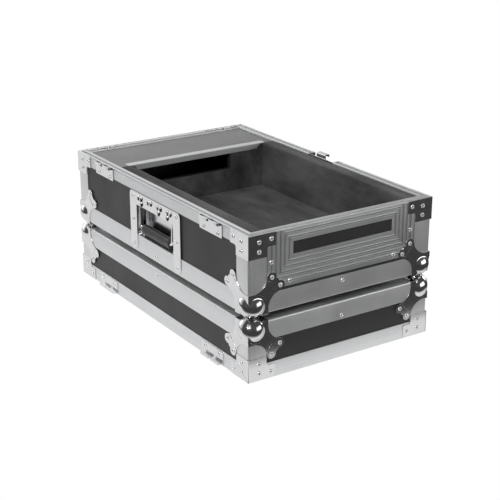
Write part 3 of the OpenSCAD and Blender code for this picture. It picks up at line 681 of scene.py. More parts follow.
mesh = new_mesh()
h = TRAY_H
loop = ([(-14, -PLATE)] + arc(-12.2, -5.0, 1.8, 180, 270, 4)
        + arc(12.2, -5.0, 1.8, 270, 360, 4) + [(14, -PLATE), (12.8, -PLATE)]
        + arc(12.0, -4.8, 0.8, 0, -90, 3) + arc(-12.0, -4.8, 0.8, -90, -180, 3)
        + [(-12.8, -PLATE)])
for dx in (-HINGE, HINGE):
    hinge_plate(mesh, TRAY, dx, h, TRAY_HINGE_H)
    for k in (-LOOP, LOOP):
        slab(mesh, [loop], 0, 5, in_side(TRAY, 3, dx + k, h - 5.5, (0, 2, 1)))
steel_piece("hinge_loops", mesh, "tray", "tray_hinge_loops")
mesh = new_mesh()
h = LID_H
hook = ([(-PLATE, h - 2.1), (-PLATE, h - TOP_GAP)] + arc(-6, h - 2.5, 2, 90, 180, 5)
        + [(-8, h - 6), (-6.4, h - 6)] + arc(-5.6, h - 2.9, 0.8, 180, 90, 3))
for dx in (-HINGE, HINGE):
    hinge_plate(mesh, LID, dx, h, LID_HINGE_H)
    for k in (-LOOP, LOOP):
        bar(mesh, hook, side(LID, 3) @ Matrix.Translation(((dx + k) * MM, 0, 0)),
            lambda y, z: -12, lambda y, z: 12)
steel_piece("hinge_hooks", mesh, "lid", "lid_hinge_hooks")


# Rear rim fittings. Two small pressed keepers set in the groove of the rear
# rim, each with a tab and a slot, of the same plated steel.
mesh = new_mesh()
h = TRAY_H
bed = h - GROOVE_D
tab = [(3.3, bed), (3.3, h - 0.8), (3.7, h - 0.4), (8.3, h - 0.4), (8.7, h - 0.8),
       (8.7, bed)]
low_web = [(3.3, bed), (3.3, h - 3.0), (8.7, h - 3.0), (8.7, bed)]
for m in (-1, 1):
    place = side(TRAY, 2) @ Matrix.Translation((m * (HALF_W / MM - 64) * MM, 0, 0))
    for a, b, cut in ((-23, -17.5, tab), (-17.5, -8.3, low_web), (-8.3, -1.8, tab),
                      (-1.8, 7.4, low_web), (7.4, 23, tab)):
        bar(mesh, cut, place, lambda y, z, a=a: a, lambda y, z, b=b: b)
steel_piece("rear_keepers", mesh, "tray", "rim_keepers")


# Foam lining. Blocks of black closed-cell foam with a soft nap, glued to
# the ply. The side blocks tuck under the rim's lip, and their edges sag a
# little where they were cut by hand.
def foam_look(place):
    nap = place.noise(900.0, 4.0, 0.7)
    patch = place.scaled(1.7, 0.6, 1.4).noise(8.0, 6.0, 0.65)
    fold = place.noise(45.0, 3.0)
    return {"Base Color": (patch * 0.85 + nap * 0.15).spread(0.38, 0.62).tint(
                (0.034, 0.034, 0.035), (0.110, 0.110, 0.113)),
            "Roughness": 0.95,
            "Specular IOR Level": 0.1,
            "Sheen Weight": 0.1,
            "Sheen Roughness": 0.5,
            "Normal": (nap * 0.5 + fold).bumps(0.5, 0.0008)}


foam = material("napped_foam", foam_look)


def soft_block(mesh, low, high, ease=2.5, cell=7.0, hollow=None, levels=()):
    """A foam block in mm: eased edges, and faces that are not quite flat.
    hollow moves its points where it is cut, and levels adds rows for a cut."""
    low, high = Vector(low), Vector(high)
    counts = [max(2, round((high[i] - low[i]) / cell)) for i in range(3)]
    steps = [[low[i] + ease * 0.5 * s for s in (0, 1)]
             + [low[i] + ease + (high[i] - low[i] - 2 * ease) * k / counts[i]
                for k in range(counts[i] + 1)]
             + [high[i] - ease * 0.5 * s for s in (1, 0)] for i in range(3)]
    steps[2] = sorted(steps[2] + list(levels))
    made = {}

    def vert(key):
        if key not in made:
            p = Vector([steps[i][key[i]] for i in range(3)])
            core = Vector([min(max(p[i], low[i] + ease), high[i] - ease)
                           for i in range(3)])
            away = p - core
            if away.length > 1e-6:
                p = core + away.normalized() * min(ease, max(abs(v) for v in away))
                wave = noise.noise(p * 0.035) * 0.45 + noise.noise(p * 0.16) * 0.2
                p = p + away.normalized() * min(0.25, wave)
            if hollow:
                p = hollow(p)
            made[key] = mesh.verts.new(p * MM)
        return made[key]

    for axis in range(3):
        u, v = (axis + 1) % 3, (axis + 2) % 3
        for end in (0, len(steps[axis]) - 1):
            for i in range(len(steps[u]) - 1):
                for j in range(len(steps[v]) - 1):
                    keys = []
                    for a, b in ((0, 0), (1, 0), (1, 1), (0, 1)):
                        key = [0, 0, 0]
                        key[axis], key[u], key[v] = end, i + a, j + b
                        keys.append(vert(tuple(key)))
                    mesh.faces.new(keys)


def box_mm(node):
    low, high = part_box(node)
    return Vector(low) / MM, Vector(high) / MM


low, high = box_mm("side_foam")
bay_low, bay_high = box_mm("front_foam")
mesh = new_mesh()
BEHIND_RIM, SEAM = RIM_W + 0.3, 0.3
DISH_ROOM, DISH_ROOM_HALF, DISH_ROOM_H = 18.8, 72, 116
lip = HALF_W / MM - BEHIND_RIM
before_strip = box_mm("cover_strip")[0].y - 0.5
under_strip = box_mm("cover_strip")[0].z - 0.4


def cut_for_fittings(p):
    """Cut away behind the handle's dish, and at the rear under the strip."""
    dish_back = DISH_ROOM - HALF_W / MM
    if p.x < dish_back and abs(p.y) < DISH_ROOM_HALF and p.z < TRAY_Z / MM + DISH_ROOM_H:
        return Vector((dish_back, p.y, p.z))
    if p.y > before_strip and p.z > under_strip:
        return Vector((p.x, before_strip, p.z))
    return p


def foam_piece(name, mesh, body, node, bevel=0):
    """Hangs foam on its body."""
    closed_piece(name, mesh, body, [node], foam, bevel)


for start, end in ((-lip, bay_low.x - SEAM), (bay_high.x + SEAM, lip)):
    soft_block(mesh, (start, -HALF_D / MM + BEHIND_RIM, low.z), (end, high.y, high.z),
               hollow=cut_for_fittings, levels=(under_strip - 0.1, under_strip + 0.1))
foam_piece("side_padding", mesh, "tray", "side_foam")
for node, name, body in (("front_foam", "front_padding", "tray"),
                         ("floor_foam", "floor_padding", "tray"),
                         ("lid_top_foam", "lid_top_padding", "lid")):
    low, high = box_mm(node)
    mesh = new_mesh()
    soft_block(mesh, low, high, ease=2.0, cell=8.0)
    foam_piece(name, mesh, body, node)
low, high = box_mm("lid_side_foam")
mesh = new_mesh()
thick = 9.7
left, right = low.x + thick + 0.6, high.x - thick - 0.6
for a, b in (((low.x, low.y, low.z), (low.x + thick, high.y, high.z)),
             ((high.x - thick, low.y, low.z), (high.x, high.y, high.z)),
             ((left, low.y, low.z), (right, low.y + thick, high.z)),
             ((left, high.y - thick, low.z), (right, high.y, high.z))):
    soft_block(mesh, a, b, ease=2.0, cell=9.0)
foam_piece("lid_side_padding", mesh, "lid", "lid_side_foam")


# Divider facing. A thin sheet of the same foam glued to the divider, cut out
# round the slot that the mixer's cables pass through.
SLOT_LEFT, SLOT_RIGHT, SLOT_H, SLOT_ROOM = 66, 264, 32.5, 0.5


def rect(x0, z0, x1, z1):
    return [(x0, z0), (x1, z0), (x1, z1), (x0, z1)]


low, high = box_mm("divider_facing")
slot_top = box_mm("cover_strip")[0].z
mesh = new_mesh()
slab(mesh, [rect(low.x - 0.6, low.z, high.x + 0.6, high.z),
            rounded(SLOT_LEFT - HALF_W / MM - SLOT_ROOM, slot_top - SLOT_H,
                    SLOT_RIGHT - HALF_W / MM + SLOT_ROOM, slot_top, 3)],
     low.y, high.y, put_by(Matrix()))
foam_piece("divider_felt", mesh, "tray", "divider_facing", 0.5)


# Cover ledges, rear cover and angle strip. A satin grey sheet lies loose on
# bare wooden ledges, and an aluminium angle is riveted along its front
# edge; the ends of the angle's front leg are cut back to a curve.
def wood_look(place):
    grain = place.scaled(1, 1, 12).noise(60.0, 4.0, 0.6)
    return {"Base Color": grain.spread(0.3, 0.7).tint((0.20, 0.13, 0.07),
                                                      (0.42, 0.31, 0.19)),
            "Roughness": 0.7, "Normal": grain.bumps(0.3, 0.0003)}


def sheet_look(place):
    swirl = place.noise(7.0, 4.0, 0.6)
    fine = place.scaled(1, 14, 1).noise(160.0, 2.0)
    return {"Base Color": (swirl * 0.6 + fine * 0.4).tint((0.085, 0.085, 0.088),
                                                         (0.135, 0.135, 0.139)),
            "Metallic": 0.35,
            "Roughness": swirl.spread(0.3, 0.7, 0.24, 0.34),
            "Normal": fine.bumps(0.05, 0.0002)}


refinish("cover_ledges", material("bare_ply", wood_look))
low, high = box_mm("cover_panel")
mesh = new_mesh()
lying = put_by(Matrix(), (0, 2, 1))
slab(mesh, [rounded(low.x, low.y, high.x, high.y, 3)], low.z, high.z, lying)
closed_piece("rear_cover", mesh, "cover", ["cover_panel"],
             material("grey_sheet", sheet_look), 0.5)
low, high = box_mm("cover_strip")
half, flat, curve_r = -bay_low.x, high.z - SKIN, 19
mesh = new_mesh()
slab(mesh, [rounded(low.x, low.y, high.x, high.y, 2.5)], flat, high.z, lying)
curve = [(half + 4 + curve_r * math.cos(t), low.z - 8 + curve_r * math.sin(t))
         for t in [math.radians(v) for v in range(155, 101, -5)]]
curve = [p for p in curve if low.z <= p[1] <= flat and p[0] < half]
curve = [(curve[0][0] - 0.6, low.z)] + curve + [(curve[-1][0] + 0.7, flat)]
leg = curve + [(-x, z) for x, z in reversed(curve)]
slab(mesh, [leg], low.y, low.y + SKIN, put_by(Matrix()))
closed_piece("cover_angle", mesh, "cover", ["cover_strip"], aluminium)


# Recessed handle. A polished pressed dish behind a riveted plate, with
# louvres pressed out of the plate's top band, and a sprung steel bail with a
# ribbed rubber grip moulded over its crossbar.
polished = material("polished_steel", steel_look(
    (0.55, 0.55, 0.56), (0.68, 0.68, 0.69), 0.2))
PIVOT_Z, PIVOT_Y, DROP = 88.0, 5.0, 39.0
DISH_LOW, DISH_HIGH, DISH_HALF, DEEP, DISH_R = 36.0, 108.8, 65.0, 17.0, 9.0
PLATE_LEG, FOOT_R, FOOT_Z = 78.35, 12.15, 16.15
mesh = new_mesh()
u_shape = ([(-90.5, 16)] + arc(-PLATE_LEG, FOOT_Z, FOOT_R, 180, 360, 14)
           + [(-66.2, 90.5)] + arc(-64.2, 90.5, 2, 180, 90, 4)
           + arc(64.2, 90.5, 2, 90, 0, 4) + arc(PLATE_LEG, FOOT_Z, FOOT_R, 180, 360, 14)
           + arc(82.5, 108.5, 8, 0, 90, 6) + arc(-82.5, 108.5, 8, 90, 180, 6))
slab(mesh, [u_shape], -PLATE, 0, in_side(TRAY, 3))
steel_piece("handle_frame", mesh, "tray", "handle_plate", 0.55)
mesh = new_mesh()
place = in_side(TRAY, 3)
middle, reach = (DISH_LOW + DISH_HIGH) / 2, (DISH_HIGH - DISH_LOW) / 2
grid = {}
nx, nz = 26, 16
for i in range(nx + 1):
    for j in range(nz + 1):
        x = DISH_HALF * (2 * i / nx - 1)
        z = middle + reach * (2 * j / nz - 1)
        edge_gap = min(DISH_HALF - abs(x), reach - abs(z - middle))
        lean = min(1.0, max(0.0, edge_gap) / DISH_R)
        y = DEEP * math.sqrt(1 - (1 - lean) ** 2)
        grid[i, j] = mesh.verts.new(place((x, y, z)))
for i in range(nx):
    for j in range(nz):
        mesh.faces.new((grid[i, j], grid[i + 1, j], grid[i + 1, j + 1], grid[i, j + 1]))
for face in mesh.faces:
    face.smooth = True
bmesh.ops.solidify(mesh, geom=list(mesh.faces), thickness=-1.0 * MM)
closed_piece("handle_pan", mesh, "tray", ["handle_dish"], polished, 0, 50)


def skin(mesh, rings):
    """Closes a row of rings of points to a rod."""
    for a, b in zip(rings, rings[1:]):
        for k in range(len(a)):
            mesh.faces.new((a[k - 1], a[k], b[k], b[k - 1]))
    mesh.faces.new(rings[0])
    mesh.faces.new(rings[-1])


def tube(mesh, path, r, to_row, sides=20):
    """A round rod along a path of points, all in mm."""
    rings = []
    for i, p in enumerate(path):
        ahead = Vector(path[min(i + 1, len(path) - 1)]) - Vector(path[max(i - 1, 0)])
        ahead.normalize()
        across = Vector((0, 1, 0))
        up = ahead.cross(across).normalized()
        rings.append([mesh.verts.new(to_row(
            Vector(p) + (across * math.cos(t) + up * math.sin(t)) * r))
            for t in [2 * math.pi * k / sides for k in range(sides)]])
    skin(mesh, rings)


mesh = new_mesh()
arm, bend_r, ROD_R, STUB_R = DISH_HALF - 8, 8, 3.5, 3.0
bend = [(arm - bend_r + bend_r * math.cos(math.radians(a)), PIVOT_Y - 1.5,
         PIVOT_Z - DROP + bend_r + bend_r * math.sin(math.radians(a)))
        for a in range(0, -91, -10)]
path = [(arm + 2, PIVOT_Y, PIVOT_Z + 1.5), (arm, PIVOT_Y - 0.4, PIVOT_Z - 8)] + bend
path = path + [(-x, y, z) for x, y, z in reversed(path)]
tube(mesh, path, ROD_R, place)
for m in (-1, 1):
    tube(mesh, [(m * (arm - 1), PIVOT_Y, PIVOT_Z), (m * (arm + 8.1), PIVOT_Y, PIVOT_Z)],
         STUB_R, place)
steel_piece("bail", mesh, "bail", "handle_bail", 0, 40)


def grip_look(place):
    fine = place.noise(500.0, 3.0)
    worn = place.noise(30.0, 3.0)
    return {"Base Color": worn.tint((0.010, 0.010, 0.011), (0.022, 0.022, 0.023)),
            "Roughness": worn.spread(0.3, 0.7, 0.35, 0.5),
            "Normal": fine.bumps(0.3, 0.0002)}


mesh = new_mesh()
rings = []
steps, sides = 120, 28
GRIP_HALF, GRIP_DEEP, GRIP_TALL = 50, 6.5, 10.0
for i in range(steps + 1):
    x = -GRIP_HALF + 2 * GRIP_HALF * i / steps
    at_end = min(1.0, (GRIP_HALF - abs(x)) / 3.5)
    swell = 0.72 + 0.28 * math.sqrt(max(0.0, 1 - (1 - at_end) ** 2))
    rib = 0.35 * (0.5 + 0.5 * math.cos(x / 5.0 * 2 * math.pi)) * (abs(x) < 38)
    ring = []
    for k in range(sides):
        t = 2 * math.pi * k / sides
        y = (GRIP_DEEP * swell - rib) * math.cos(t)
        z = (GRIP_TALL * swell - rib) * math.copysign(abs(math.sin(t)) ** 0.75,
                                                      math.sin(t))
        ring.append(mesh.verts.new(place((x, PIVOT_Y + y, PIVOT_Z - DROP + z))))
    rings.append(ring)
skin(mesh, rings)
closed_piece("grip", mesh, "bail", ["handle_grip"],
             material("moulded_rubber", grip_look), 0, 40)


# Latch. A recessed butterfly latch, all of plated steel: pressed dish, a round
# boss that turns on a post, two folding wings on it and a flat hook that the
# boss's cam slides.
mesh = new_mesh()
KEY_Z, KEY_R, LATCH_LOW, h = 97.0, 13, 62.0, TRAY_H
POST_R, POST_HOLE_R = 3, 3.06
MOUTH, CUP_HALF = 37.5, 38.5


def cup(mesh, place, h, flange_half, foot, floor, wall_foot, floor_foot, back):
    """A pressed cup that is open at the rim: a flange round its mouth, its back,
    two walls and a floor. back is the depth of the back's near face."""
    top = h - TOP_GAP
    flange = ([(-flange_half, foot), (flange_half, foot), (flange_half, top),
               (MOUTH, top)] + arc(MOUTH - 3, floor + 3, 3, 0, -90, 4)
              + arc(3 - MOUTH, floor + 3, 3, -90, -180, 4)
              + [(-MOUTH, top), (-flange_half, top)])
    slab(mesh, [flange], -PLATE, 0, place)
    slab(mesh, [rect(-CUP_HALF, wall_foot, CUP_HALF, top)], back, back + PLATE, place)
    for m in (-1, 1):
        slab(mesh, [rect(m * MOUTH, wall_foot, m * 38.6, top)], 0, back + 0.6, place)
    slab(mesh, [rect(-38, floor_foot, 38, floor)], 0, back + 0.6, place)


place = in_side(TRAY, 1)
cup(mesh, place, h, 50.5, LATCH_LOW - 14.2, LATCH_LOW, LATCH_LOW - 1,
    LATCH_LOW - 1.1, 14.0)
slab(mesh, [arc(0, KEY_Z, POST_R, 0, 345, 23)], 5, 14.2, place)
steel_piece("latch_pan", mesh, "tray", "latch_dish")
mesh = new_mesh()
post_hole = arc(0, KEY_Z, POST_HOLE_R, 0, 345, 23)
slab(mesh, [arc(0, KEY_Z, KEY_R, 0, 352.5, 47), post_hole], 8.0, 10.4, place)
for a, b in ((-12.9, -8.2), (-3.8, 3.8), (8.2, 12.9)):
    up_a, up_b = math.sqrt(KEY_R ** 2 - a * a), math.sqrt(KEY_R ** 2 - b * b)
    knuckle = [(a, KEY_Z - up_a), (a, KEY_Z + up_a), (b, KEY_Z + up_b), (b, KEY_Z - up_b)]
    slab(mesh, [knuckle] + ([post_hole] if a < 0 < b else []), 5.0, 8.0, place)
slab(mesh, [arc(0, KEY_Z + 6, 2, 0, 337.5, 15)], 10.3, 12.7, place)
steel_piece("latch_boss", mesh, "key", "latch_key")
wing = [(7.5, -30.6), (7.5, 30.6)] + arc(0, 0, 31.5, 76, -76, 22)
grip_hole = pill(20, 0, 30, 7, 90)
web = ((6.4, 5.1), (7.3, 6.0), (8.7, 4.3), (7.7, 3.6))
WING_PIN, WING_LUG = 6, 8
for sign, body in ((1, "wing_rear"), (-1, "wing_front")):
    mesh = new_mesh()
    slab(mesh, [[(sign * x, KEY_Z + z) for x, z in outline]
                for outline in (wing, grip_hole)], 3.0, 4.7, place)
    tube(mesh, [(sign * WING_PIN, 6.0, KEY_Z + z) for z in (-WING_LUG, WING_LUG)], 1.8,
         place, 14)
    slab(mesh, [[(sign * x, y) for x, y in web]], KEY_Z - WING_LUG, KEY_Z + WING_LUG,
         in_side(TRAY, 1, order=(0, 2, 1)))
    steel_piece("latch_" + body, mesh, body, "latch_" + body, 0.3)
mesh = new_mesh()
top, strap_low, slot_low, slot_high = h + 8, KEY_Z - 22, KEY_Z - 3.6, KEY_Z + 16
NEAR, FAR, SLOT_HALF, STRAP_HALF = 11.7, 13.7, 8.6, 13.5
curl = ([(FAR, top - 2.5)] + arc(11.2, top - 2.5, 2.5, 0, 90, 5)
        + arc(5, top - 2, 2, 90, 180, 4)
        + [(3, top - 5), (5, top - 5), (5, top - 2.2), (11.0, top - 2),
           (NEAR, top - 2.7)])
whole = [(FAR, strap_low)] + curl + [(NEAR, strap_low)]
above_slot = [(FAR, slot_high)] + curl + [(NEAR, slot_high)]
below_slot = [(FAR, strap_low), (FAR, slot_low), (NEAR, slot_low), (NEAR, strap_low)]
for section, start, end in ((whole, -STRAP_HALF, -SLOT_HALF),
                            (whole, SLOT_HALF, STRAP_HALF),
                            (above_slot, -SLOT_HALF, SLOT_HALF),
                            (below_slot, -SLOT_HALF, SLOT_HALF)):
    bar(mesh, section, side(TRAY, 1), lambda y, z: start, lambda y, z: end)
steel_piece("latch_strap", mesh, "hook", "latch_hook")


# Keeper. A pressed steel cup in the lid's right side, riveted through its
# flange, with the lip inside that the latch hook pulls on.
mesh = new_mesh()
h = LID_H
place = in_side(LID, 1)
low = h - 29.7
cup(mesh, place, h, 49.5, low - 9, low + PLATE, low, low, 10.8)
slab(mesh, [rect(-17.5, h - 12, 17.5, h - 10)], 2.8, 11.2, place)
steel_piece("keeper_cup", mesh, "lid", "lid_latch_keeper")


# Rivets. Nickel-plated tubular rivets with a rolled head and a pit in the
# middle painted dark as shade, set through every fitting and along the edging.
# No two sit quite alike: each head leans a little its own way.
def rivet_look(place):
    hollow = place.node("ShaderNodeAttribute", out=2, attribute_name="hollow")
    dull = place.noise(300.0, 3.0)
    # Painted shade: the points marked hollow, the rivets' pits and the louvres' mouths, get a
    # near-black colour.
    return {"Base Color": ((1 - hollow) * (dull * 0.2 + 0.8)).tint(
                (0.03, 0.03, 0.03), (0.84, 0.84, 0.85)),
            "Metallic": 0.6,
            "Roughness": dull.spread(0.3, 0.7, 0.22, 0.32)}


plating = material("rivet_plating", rivet_look)


def spun_head(name, profile, around=20, pit=0.0):
    """A head turned from radii and heights in mm, marked hollow in its pit, which is the mask
    for painted shade.
    """
    mesh = bmesh.new()
    rings = [[mesh.verts.new((r * math.cos(t) * MM, r * math.sin(t) * MM, z * MM))
              for t in [2 * math.pi * k / around for k in range(around)]]
             for r, z in profile[1:]]
    tip = mesh.verts.new((0, 0, profile[0][1] * MM))
    for k in range(around):
        mesh.faces.new((tip, rings[0][k - 1], rings[0][k]))
    for a, b in zip(rings, rings[1:]):
        for k in range(around):
            mesh.faces.new((a[k - 1], b[k - 1], b[k], a[k]))
    mesh.faces.new(list(reversed(rings[-1])))
    bmesh.ops.recalc_face_normals(mesh, faces=mesh.faces)
    data = bpy.data.meshes.new(name)
    mesh.to_mesh(data)
    mesh.free()
    # The hollow mark is the mask of painted shade that rivet_look paints near black.
    hollow = data.attributes.new("hollow", "FLOAT", "POINT")
    for vert in data.vertices:
        r = math.hypot(vert.co.x, vert.co.y) / MM
        hollow.data[vert.index].value = 1.0 if r < pit else 0.0
    for face in data.polygons:
        face.use_smooth = True
    return bpy.data.objects.new(name, data)


rivet_head = spun_head("rivet_head", [
    (0, 0.15), (1.0, 0.2), (1.35, 0.5), (1.6, 1.45), (2.0, 1.8), (2.7, 1.7),
    (3.5, 1.2), (4.0, 0.6), (4.2, 0.0), (4.1, -0.2)], pit=1.5)

setter = bpy.data.node_groups.new("set_heads", "GeometryNodeTree")
inlets = {name: setter.interface.new_socket(
    name, in_out="INPUT", socket_type="NodeSocket" + kind).identifier
    for name, kind in (("Geometry", "Geometry"), ("Head", "Object"),
                       ("Finish", "Material"), ("Lean", "Float"))}
setter.interface.new_socket("Geometry", in_out="OUTPUT",
                            socket_type="NodeSocketGeometry")
step = Wire(setter).node
given = setter.nodes.new("NodeGroupInput").outputs
spots_in, head_in, finish_in, lean_in = [Wire(setter, given[name]) for name in inlets]
outward = step("GeometryNodeInputNamedAttribute", {"Name": "outward"},
               data_type="FLOAT_VECTOR")
aim = step("FunctionNodeAlignRotationToVector", {"Vector": outward}, axis="Z")
chance = step("FunctionNodeRandomValue", {"Seed": 7}, data_type="FLOAT_VECTOR")
centred = step("ShaderNodeVectorMath", {0: chance, 1: (0.5, 0.5, 0.5)},
               operation="SUBTRACT")
small = step("ShaderNodeVectorMath", {0: centred, "Scale": lean_in}, operation="SCALE")
wobble = step("FunctionNodeEulerToRotation", {0: small})
turned = step("FunctionNodeRotateRotation", {0: aim, 1: wobble}, rotation_space="LOCAL")
head = step("GeometryNodeObjectInfo", {"Object": head_in}, out="Geometry")
heads = step("GeometryNodeInstanceOnPoints",
             {"Points": spots_in, "Instance": head, "Rotation": turned})
solid = step("GeometryNodeRealizeInstances", {0: heads})
coated = step("GeometryNodeSetMaterial", {"Geometry": solid, "Material": finish_in})
coated.feed(coated, setter.nodes.new("NodeGroupOutput").inputs[0])


def set_heads(name, spots, head, finish, body, nodes, lean=0.06):
    """Sets a head at each spot, a place in the row frame and a direction."""
    data = bpy.data.meshes.new(name + "_spots")
    data.from_pydata([tuple(p) for p, out in spots], [], [])
    away = data.attributes.new("outward", "FLOAT_VECTOR", "POINT")
    for i, (p, out) in enumerate(spots):
        away.data[i].vector = out
    carrier = bpy.data.objects.new(name + "_spots", data)
    bpy.context.scene.collection.objects.link(carrier)
    setting = carrier.modifiers.new("heads", "NODES")
    setting.node_group = setter
    setting[inlets["Head"]] = head
    setting[inlets["Finish"]] = finish
    setting[inlets["Lean"]] = lean
    bpy.context.view_layer.update()
    mesh = bpy.data.meshes.new_from_object(
        carrier.evaluated_get(bpy.context.evaluated_depsgraph_get()))
    bpy.data.objects.remove(carrier)
    return placed(name, mesh, body, nodes)


def spot(half, number, x, z, stand=PLATE):
    """A rivet's place on a side, on a fitting's plate or on the ply, and the way
    that it faces."""
    place = side(half, number)
    out = (place.to_3x3() @ Vector((0, -1, 0))).normalized()
    return place @ Vector((x * MM, -stand * MM, z * MM)), out


LEG_SPOTS = ((LEG_NEAR, LEG_FAR), (LEG_FAR, LEG_NEAR))
BRACE_SPOTS = ((20, 13), (43.5, 10.8), (20, 29.5))
SIDE_MID = 11.5


def shared_spots(half, tall, mid):
    """The rivets of the ball corners, braces and edging, alike on each half."""
    spots = []
    for number in range(4):
        long = half_length(number)
        spots.append(spot(half, number, 0, mid if number % 2 == 0 else SIDE_MID, 0))
        for m in (-1, 1):
            spots += [spot(half, number, m * (long - a), z) for a, z in LEG_SPOTS]
            spots += [spot(half, number, m * (long - a), tall - z)
                      for a, z in BRACE_SPOTS]
    for sx, sy in CORNERS:
        place = corner_frame(half, sx, sy)
        for a, b in LEG_SPOTS:
            spots.append((place @ Vector((a * MM, b * MM, -PLATE * MM)),
                          (place.to_3x3() @ Vector((0, 0, -1))).normalized()))
    return spots


spots = shared_spots(TRAY, TRAY_H, 24.8)
for m in (-1, 1):
    spots.append(spot(TRAY, 0, m * (WIDE / 2 - 44.5), WIN_LOW - 6, 0))
    spots.append(spot(TRAY, 0, m * (WIDE / 2 - 81), FRAME_LOW + 9, 0))
set_heads("tray_rivet_heads", spots, rivet_head, plating, "tray", ["tray_rivets"])
spots = []
HINGE_SPOTS = (-22, 22)
for m in (-1, 1):
    spots += [spot(TRAY, 3, m * PLATE_LEG, z) for z in (14.5, 62.5, 108)]
    spots += [spot(TRAY, 3, m * HINGE + k, TRAY_H - 20) for k in HINGE_SPOTS]
spots += [spot(TRAY, 1, k, z) for k in (-44.5, 44.5)
          for z in (LATCH_LOW + 6, TRAY_H - 12)]
set_heads("fitting_rivet_heads", spots, rivet_head, plating, "tray", ["fitting_rivets"])
spots = shared_spots(LID, LID_H, 26.9)
for m in (-1, 1):
    spots += [spot(LID, 3, m * HINGE + k, LID_H - 19.4) for k in HINGE_SPOTS]
    spots.append(spot(LID, 1, m * 43.5, LID_H - 33))
set_heads("lid_rivet_heads", spots, rivet_head, plating, "lid", ["lid_rivets"])


# Louvres. Short half-round swellings pressed out of the handle plate's top
# band in two rows, which stiffen it. Each has a mouth on one side that is
# painted dark as shade.
louvre = spun_head("louvre", [(0, 3.2), (1.4, 3.0), (2.7, 2.4), (3.7, 1.5),
                              (4.2, 0.4), (4.3, -0.2)], 18)
# The mouth is painted shade: its points are marked hollow, and rivet_look paints them near
# black.
for vert in louvre.data.vertices:
    mouth = vert.co.y < -1.5 * MM and vert.co.x < 1.5 * MM
    louvre.data.attributes["hollow"].data[vert.index].value = float(mouth)
    vert.co.x *= 1.4
spots = [spot(TRAY, 3, x + k, z, 1.1) for x in (-52.5, -17.5, 17.5, 52.5)
         for k, z in ((-5, 107.5), (5, 107.5))]
spots += [spot(TRAY, 3, x, 98, 1.1) for x in (-47, 16, 47)]
set_heads("handle_louvres", spots, louvre, plating, "tray", [], lean=0.3)


# Studio. A pale floor that the camera sees as plain white, five soft boxes
# (left rear, overhead, left front, right and right front), and a room that
# metal sees dark but for a bright wall at the rear.
WHITE = (1, 1, 1, 1)


def glow(wire, strength):
    return wire.node("ShaderNodeEmission", {"Color": WHITE, "Strength": strength})


def mixed(part, a, b):
    return part.node("ShaderNodeMixShader", {0: part, 1: a, 2: b})


def flat_axes(place):
    """The x and the y of a place or a direction."""
    return [place.node("ShaderNodeSeparateXYZ", {0: place}, out=k) for k in (0, 1)]


def sweep(name, dark):
    """White to the camera. Metal sees it white near the case and dark beyond."""
    made = bpy.data.materials.new(name)
    made.use_nodes = True
    wire = Wire(made.node_tree)
    wire.tree.nodes.clear()
    camera_ray = wire.node("ShaderNodeLightPath")
    glossy_ray = wire.node("ShaderNodeLightPath", out=3)
    x, y = flat_axes(wire.node("ShaderNodeTexCoord", out=3))
    ahead = (-0.303 - y).spread(0.05, 0.10, 1.0, 0.0)
    right = (x - 0.19).spread(0.08, 0.25, 1.0, 0.0)
    aside = (y + 0.39 + (x + 0.19) * 0.7).spread(-0.05, 0.05, 0.0, 1.0)
    left = (-0.19 - x).spread(0.45, 0.65, 1.0, 0.0)
    light = ahead * right * aside * left
    matt = wire.node("ShaderNodeBsdfDiffuse", {"Color": (0.7, 0.7, 0.7, 1)})
    seen = mixed(light, glow(wire, dark), glow(wire, 1.0))
    shown = mixed(camera_ray, mixed(glossy_ray, matt, seen), glow(wire, 1.0))
    shown.feed(shown, wire.tree.nodes.new("ShaderNodeOutputMaterial").inputs[0])
    return made


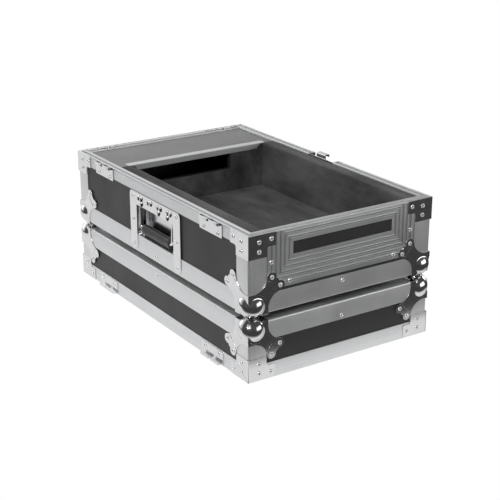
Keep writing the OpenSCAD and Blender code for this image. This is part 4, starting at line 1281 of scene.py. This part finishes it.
floor_mesh = bpy.data.meshes.new("studio_floor")
size = 12.0
floor_mesh.from_pydata([(x, y, 0) for x, y in rect(-size, -size, size, size)], [],
                       [(0, 1, 2, 3)])
floor_mesh.materials.append(sweep("white_sweep", 0.06))
studio_floor = bpy.data.objects.new("studio_floor", floor_mesh)
studio_floor.location.z = -0.0005
bpy.context.scene.collection.objects.link(studio_floor)


def soft_box(name, at, wide, tall, power):
    data = bpy.data.lights.new(name, "AREA")
    data.shape, data.size, data.size_y = "RECTANGLE", wide, tall
    data.energy = power
    lamp = bpy.data.objects.new(name, data)
    lamp.location = at
    towards = Vector((0, 0, 0.1)) - Vector(at)
    lamp.rotation_euler = towards.to_track_quat("-Z", "Y").to_euler()
    bpy.context.scene.collection.objects.link(lamp)


soft_box("left_box", (-1.2, 3.4, 1.0), 2.4, 1.6, 10)
soft_box("top_box", (-0.2, 0.6, 2.6), 1.8, 1.4, 22)
soft_box("front_box", (-2.2, -1.6, 1.7), 0.8, 0.8, 50)
soft_box("side_box", (2.3, 0.2, 0.6), 0.6, 0.6, 10)
soft_box("fill_box", (1.6, -2.3, 0.6), 2.2, 1.1, 18)

world = bpy.data.worlds.new("studio")
bpy.context.scene.world = world
world.use_nodes = True
wire = Wire(world.node_tree)
wire.tree.nodes.clear()
x, y = flat_axes(wire.node("ShaderNodeTexCoord"))
tone = (y - x * 0.1).spread(0.45, 0.80, 0.08, 1.0)
room, white = [wire.node("ShaderNodeBackground", {"Color": WHITE, "Strength": strength})
               for strength in (tone, 1.0)]
shown = mixed(wire.node("ShaderNodeLightPath"), room, white)
shown.feed(shown, wire.tree.nodes.new("ShaderNodeOutputWorld").inputs[0])
bpy.context.scene.view_settings.view_transform = "Standard"

# Camera. It stands to the left of the front and a little above, more than two
# metres off, and looks through a long lens.
turn, rise, far = math.radians(-33.45), math.radians(20.25), 2.285
back = Vector((math.sin(turn) * math.cos(rise), -math.cos(turn) * math.cos(rise),
               math.sin(rise)))
aim_at = Vector((math.cos(turn) * 0.011, math.sin(turn) * 0.011, 0.1048))
lens = bpy.data.cameras.new("camera")
lens.lens, lens.sensor_width = 87.0, 36.0
camera = bpy.data.objects.new("camera", lens)
camera.location = aim_at + back * far
camera.rotation_euler = (-back).to_track_quat("-Z", "Y").to_euler()
bpy.context.scene.collection.objects.link(camera)
bpy.context.scene.camera = camera
